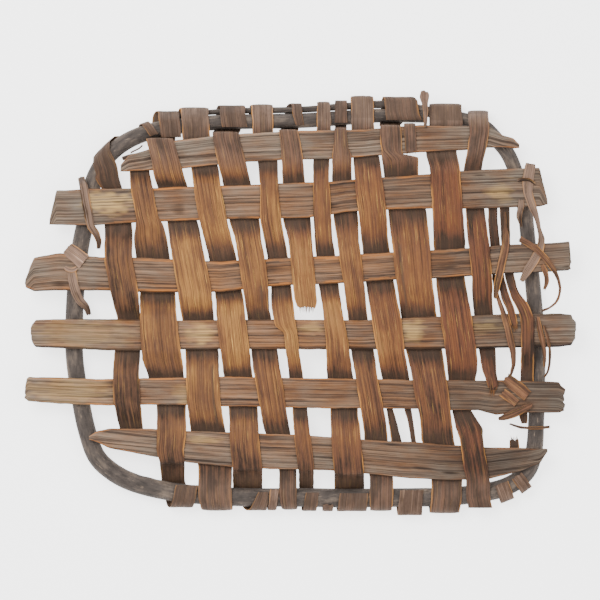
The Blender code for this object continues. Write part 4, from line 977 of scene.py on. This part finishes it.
splint_bark = bark_finish(
    "splint bark",
    BARK_DULL,
    ((0.0, BARK_DARK), (0.22, BARK_BROWN), (0.60, BARK_ORANGE), (0.98, BARK_GOLD)),
    ((0.0, BARK_DARK), (0.30, BARK_RED), (0.80, BARK_RUST), (1.0, BARK_ORANGE)),
    0.72,
    0.56,
)
for number, (node, (redness, gold, torn)) in enumerate(SPLINT_LOOKS.items()):
    slits = [slit[1:] for slit in SLITS if slit[0] == node]
    holes = [hole[1:] for hole in HOLES if hole[0] == node]
    seed = SPLINT_SEED + SEED_STEP * number
    make_strip("bark_" + node, node, "splint_bark", splint_bark, seed, redness, torn, gold, slits, holes)


# What is left of the broken splints: half of one under the right lashings, the ends of three more,
# and a strand that split off a fourth. Their broken ends are frayed, and only the weave holds them.

BROKEN_SEED = 500
BROKEN_GOLD = 0.6
# Node, redness, (torn lengths of its low and high ends in metres)
BROKEN_LOOKS = (
    ("splint_11_split_strand", 0.45, (0.003, 0.001)),
    ("splint_14", 0.60, (0.006, 0.001)),
    ("splint_15", 0.55, (0.003, 0.003)),
    ("splint_10_lower_shard", 0.50, (0.001, 0.006)),
    ("splint_10_lower_strand", 0.50, (0.001, 0.006)),
    ("splint_13_lower_stub", 0.60, (0.001, 0.003)),
)

for number, (node, redness, torn) in enumerate(BROKEN_LOOKS):
    name = "broken_" + node.removeprefix("splint_")
    seed = BROKEN_SEED + SEED_STEP * number
    make_strip(name, node, "splint_bark", splint_bark, seed, redness, torn, BROKEN_GOLD)


# The frayed fibres. Bast threads that stand out of the torn ends, where a splint broke across its
# grain. Each is still fast in the bark that it tore from.

FRAY_SEED, FRAY_SEED_STEP = 620, 11
FRAY_SIDES = 4
FRAY_STEPS = 6
FRAY_ROOT = 0.0025
FRAY_THICK = 0.00030
FRAY_GRAIN_STEP = 0.003
# Shares of the strip's half width and thickness that the fibres stand in, of a fibre's length that
# is sure, that it leans and that it rises, and of its thickness that it tapers and differs by
FRAY_WIDTH_SHARE, FRAY_DEPTH_SHARE = 0.85, 0.25
FRAY_SURE_SHARE, FRAY_LEAN_SHARE, FRAY_RISE_SHARE = 0.55, 0.35, 0.30
FRAY_TAPER_SHARE, FRAY_DIFFER_SHARE = 0.8, 0.4
FRAY_FLATNESS = 1.4
# How many stations in from the strip's end its way out is measured
FRAY_BACK = 4
# Node, which end (0 low, -1 high), how many fibres, their longest reach out of the end in metres
FRAYS = (
    ("splint_07", 0, 16, 0.0050),
    ("splint_13", 0, 9, 0.0060),
    ("splint_14", 0, 9, 0.0045),
    ("splint_10_lower_shard", -1, 9, 0.0050),
    ("splint_13_lower_stub", -1, 7, 0.0030),
    ("splint_11_split_strand", 0, 6, 0.0035),
)


def make_fray(node, end, count, reach, seed):
    """The fibres out of one end of a strip, each a thin tapered thread that curls a little."""
    middle, half, normal, thickness = strip_line(node)
    tip, side, up = middle[end], half[end], normal[end]
    inner = middle[FRAY_BACK] if end == 0 else middle[-1 - FRAY_BACK]
    out = (tip - inner) / np.linalg.norm(tip - inner)
    wide = np.linalg.norm(side)
    aside = side / wide
    turn = np.arange(FRAY_SIDES) * 2 * pi / FRAY_SIDES
    points, faces, grain = [], [], []
    for fibre in range(count):
        share_across = (fibre + 0.5 + 0.4 * chance(seed, fibre)) / count
        place = -FRAY_WIDTH_SHARE + 2 * FRAY_WIDTH_SHARE * share_across
        length = reach * (FRAY_SURE_SHARE + (1 - FRAY_SURE_SHARE) * chance(seed + 1, fibre))
        t = np.linspace(0, 1, FRAY_STEPS)
        lean = FRAY_LEAN_SHARE * chance(seed + 2, fibre) * length * t**2
        rise = FRAY_RISE_SHARE * chance(seed + 3, fibre) * length * t**2
        level = FRAY_DEPTH_SHARE * thickness * chance(seed + 4, fibre)
        spine = (
            tip
            + aside * (wide * place + lean[:, None])
            + up * (level + rise[:, None])
            + out * ((length + FRAY_ROOT) * t[:, None] - FRAY_ROOT)
        )
        radius = FRAY_THICK * (1 - FRAY_TAPER_SHARE * t)
        radius = radius * (1 + FRAY_DIFFER_SHARE * chance(seed + 5, fibre))
        first = len(points) * FRAY_STEPS * FRAY_SIDES
        ring = aside * np.cos(turn)[:, None] * FRAY_FLATNESS + up * np.sin(turn)[:, None]
        points.append((spine[:, None] + radius[:, None, None] * ring[None]).reshape(-1, 3))
        at = first + np.arange(FRAY_STEPS * FRAY_SIDES).reshape(FRAY_STEPS, FRAY_SIDES)
        beside = np.roll(at, -1, 1)
        faces += np.stack([at[:-1], beside[:-1], beside[1:], at[1:]], -1).reshape(-1, 4).tolist()
        faces += [at[0, ::-1].tolist(), at[-1].tolist()]
        grain_across = np.full(FRAY_STEPS * FRAY_SIDES, fibre * FRAY_GRAIN_STEP)
        grain.append(np.column_stack([np.repeat(t * length, FRAY_SIDES), grain_across]))
    points, grain = np.concatenate(points), np.concatenate(grain)
    looks = {"rub_and_highlight": 0.35, "tone": 0.3, "dirt_and_shade": 0.25, "edge": 0.08, "rim": 0.0}
    fields = {label: np.full(len(points), value) for label, value in looks.items()}
    piece = mesh_piece("fray_" + node, points, faces, grain, fields, splint_bark)
    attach(piece, "root")


for number, (node, end, count, reach) in enumerate(FRAYS):
    make_fray(node, end, count, reach, FRAY_SEED + FRAY_SEED_STEP * number)


# The wraps round the hoop. Short offcuts of the same bark that fill the hoop between the splints'
# own turned ends and pull them tight. Handling never reached them, so they stay dull and mauve.

WRAP_SEED = 700
WRAP_GOLD = 0.8
WRAP_LIGHT = (192, 158, 132)
WRAP_STOPS = ((0.0, BARK_DARK), (0.22, BARK_DULL), (0.60, BARK_MAUVE), (1.0, WRAP_LIGHT))
# Node, redness, (torn lengths of its low and high ends in metres)
WRAP_LOOKS = (
    ("rim_wrap_loose", 0.1, (0.001, 0.002)),
    ("rim_wrap_torn", 0.2, (0.003, 0.003)),
    ("rim_wrap_broad", 0.2, (0.001, 0.001)),
    ("rim_wrap_corner_inner", 0.3, (0.002, 0.001)),
    ("rim_wrap_corner_outer", 0.3, (0.001, 0.002)),
    ("rim_wrap_top_slip", 0.4, (0.001, 0.001)),
    ("rim_thong_stub", 0.2, (0.003, 0.004)),
)

wrap_bark = bark_finish("wrap bark", BARK_MAUVE, WRAP_STOPS, WRAP_STOPS, 0.78, 0.62)
for number, (node, redness, torn) in enumerate(WRAP_LOOKS):
    name, seed = node.replace("rim", "bark"), WRAP_SEED + SEED_STEP * number
    make_strip(name, node, "wrap_bark", wrap_bark, seed, redness, torn, WRAP_GOLD)


# The lashings. Narrow bark strips tied round a slat's end and the hoop at both sides. Each crosses
# over itself, pulled tight while wet, and ends in loose tails.

LASHING_SEED = 900
# Node, redness, (torn lengths of its low and high ends in metres)
LASHING_LOOKS = (
    ("lashing_upper_left", 0.3, (0.002, 0.002)),
    ("lashing_lower_left_band", 0.3, (0.001, 0.001)),
    ("lashing_lower_left_strand", 0.3, (0.003, 0.001)),
    ("lashing_lower_left_knot", 0.3, (0.001, 0.001)),
    ("lashing_upper_right_band", 0.5, (0.002, 0.001)),
    ("lashing_upper_right_leaf", 0.5, (0.003, 0.003)),
    ("lashing_upper_right_loop", 0.5, (0.001, 0.001)),
)

for number, (node, redness, torn) in enumerate(LASHING_LOOKS):
    seed = LASHING_SEED + SEED_STEP * number
    make_strip("bark_" + node, node, "wrap_bark", wrap_bark, seed, redness, torn, WRAP_GOLD)


# The loose thongs and slivers. Thin tails of the lashings and split-off strands, curled as they
# dried. The middle right lashing has come undone and hangs in a curl.

THONG_SEED = 1100
THONG_BROWN = (100, 68, 49)
THONG_TAN = (138, 94, 64)
THONG_LIGHT = (176, 126, 80)
THONG_STOPS = ((0.0, BARK_DARK), (0.35, THONG_BROWN), (0.70, THONG_TAN), (1.0, THONG_LIGHT))
# Node, redness, (torn lengths of its low and high ends in metres)
THONG_LOOKS = (
    ("splint_14_sliver", 0.5, (0.003, 0.002)),
    ("hoop_thread", 0.3, (0.001, 0.001)),
    ("thong_upper_right", 0.5, (0.003, 0.001)),
    ("thong_lower_right", 0.5, (0.003, 0.001)),
    ("sliver_lower_right", 0.5, (0.004, 0.002)),
    ("lashing_middle_right_curl", 0.5, (0.001, 0.001)),
    ("lashing_middle_right_tail", 0.5, (0.003, 0.001)),
    ("splinter_lower_right", 0.5, (0.002, 0.002)),
)

thong_bark = bark_finish("thong bark", BARK_MAUVE, THONG_STOPS, THONG_STOPS, 0.74, 0.58)
for number, (node, redness, torn) in enumerate(THONG_LOOKS):
    seed = THONG_SEED + SEED_STEP * number
    make_strip("bark_" + node, node, "thong_bark", thong_bark, seed, redness, torn, WRAP_GOLD)


# The folded strips at the lower right. A long end of the same bark was tucked behind slat five and
# the hoop and folded over itself: two flat folds, a leaf and a tail, which lie on each other.

FOLD_SEED = 1300
FOLDS = ("folded_strip_upper", "folded_strip_lower", "folded_strip_leaf", "folded_strip_tail")
FOLD_REDNESS = 0.5
FOLD_TORN = (0.001, 0.002)

for number, node in enumerate(FOLDS):
    seed = FOLD_SEED + SEED_STEP * number
    make_strip("bark_" + node, node, "thong_bark", thong_bark, seed, FOLD_REDNESS, FOLD_TORN, WRAP_GOLD)


# The snag. A stub of a side twig left on the hoop's upper left corner, flattened by the knife. It
# grew from the sapling, so nothing else holds it.

SNAG_SEED = 1500
SNAG_REDNESS = 0.2
SNAG_TORN = (0.002, 0.001)

snag_bark = bark_finish("snag bark", HOOP_MIDDLE, WRAP_STOPS, WRAP_STOPS, 0.70, 0.55)
make_strip("hoop_twig_snag", "hoop_snag", "hoop_bark", snag_bark, SNAG_SEED, SNAG_REDNESS, SNAG_TORN)


# The floor, the light and the camera. The panel lies on a plain pale floor under a key light and a
# fill, and the camera looks straight down on its face.

VIEW_WIDTH = 0.600
VIEW_MIDDLE = (0.0001, 0.0029)
CAMERA_HEIGHT = 4.0
FACE_HEIGHT = 0.024
SENSOR = 0.036
MILLIMETRES = 1000
FLOOR_SIZE = 12
FLOOR_HEIGHT = -0.0006
FLOOR_PAINT = (0.93, 0.93, 0.93, 1.0)
FLOOR_ROUGHNESS = 0.9
FLOOR_GLOW = 2.2
SKY_GLOW = 1.35
WHITE = (1.0, 1.0, 1.0, 1.0)
# Name, place, size, power
LIGHTS = (
    ("key", (-0.9, 0.9, 2.2), 1.2, 62.0),
    ("fill", (1.3, -0.6, 1.9), 2.2, 18.0),
)

bpy.ops.mesh.primitive_plane_add(size=FLOOR_SIZE, location=(0, 0, FLOOR_HEIGHT))
floor = bpy.context.object
floor.name = "floor"
pale, _, pale_shader = finish_named("pale floor")
pale_shader.inputs["Base Color"].default_value = FLOOR_PAINT
pale_shader.inputs["Roughness"].default_value = FLOOR_ROUGHNESS
pale_shader.inputs["Emission Color"].default_value = WHITE
pale_shader.inputs["Emission Strength"].default_value = FLOOR_GLOW
floor.data.materials.append(pale)

for name, place, size, power in LIGHTS:
    light = bpy.data.lights.new(name, "AREA")
    light.size = size
    light.energy = power
    lamp = bpy.data.objects.new(name, light)
    lamp.location = place
    lamp.rotation_euler = (-Vector(place)).to_track_quat("-Z", "Y").to_euler()
    bpy.context.scene.collection.objects.link(lamp)
world = bpy.data.worlds.new("studio")
world.use_nodes = True
sky = world.node_tree.nodes["Background"]
sky.inputs["Color"].default_value = WHITE
sky.inputs["Strength"].default_value = SKY_GLOW
bpy.context.scene.world = world

lens = bpy.data.cameras.new("camera")
lens.sensor_width = SENSOR * MILLIMETRES
lens.lens = SENSOR * MILLIMETRES * (CAMERA_HEIGHT - FACE_HEIGHT) / VIEW_WIDTH
camera = bpy.data.objects.new("camera", lens)
camera.location = (*VIEW_MIDDLE, CAMERA_HEIGHT)
bpy.context.scene.collection.objects.link(camera)
bpy.context.scene.camera = camera
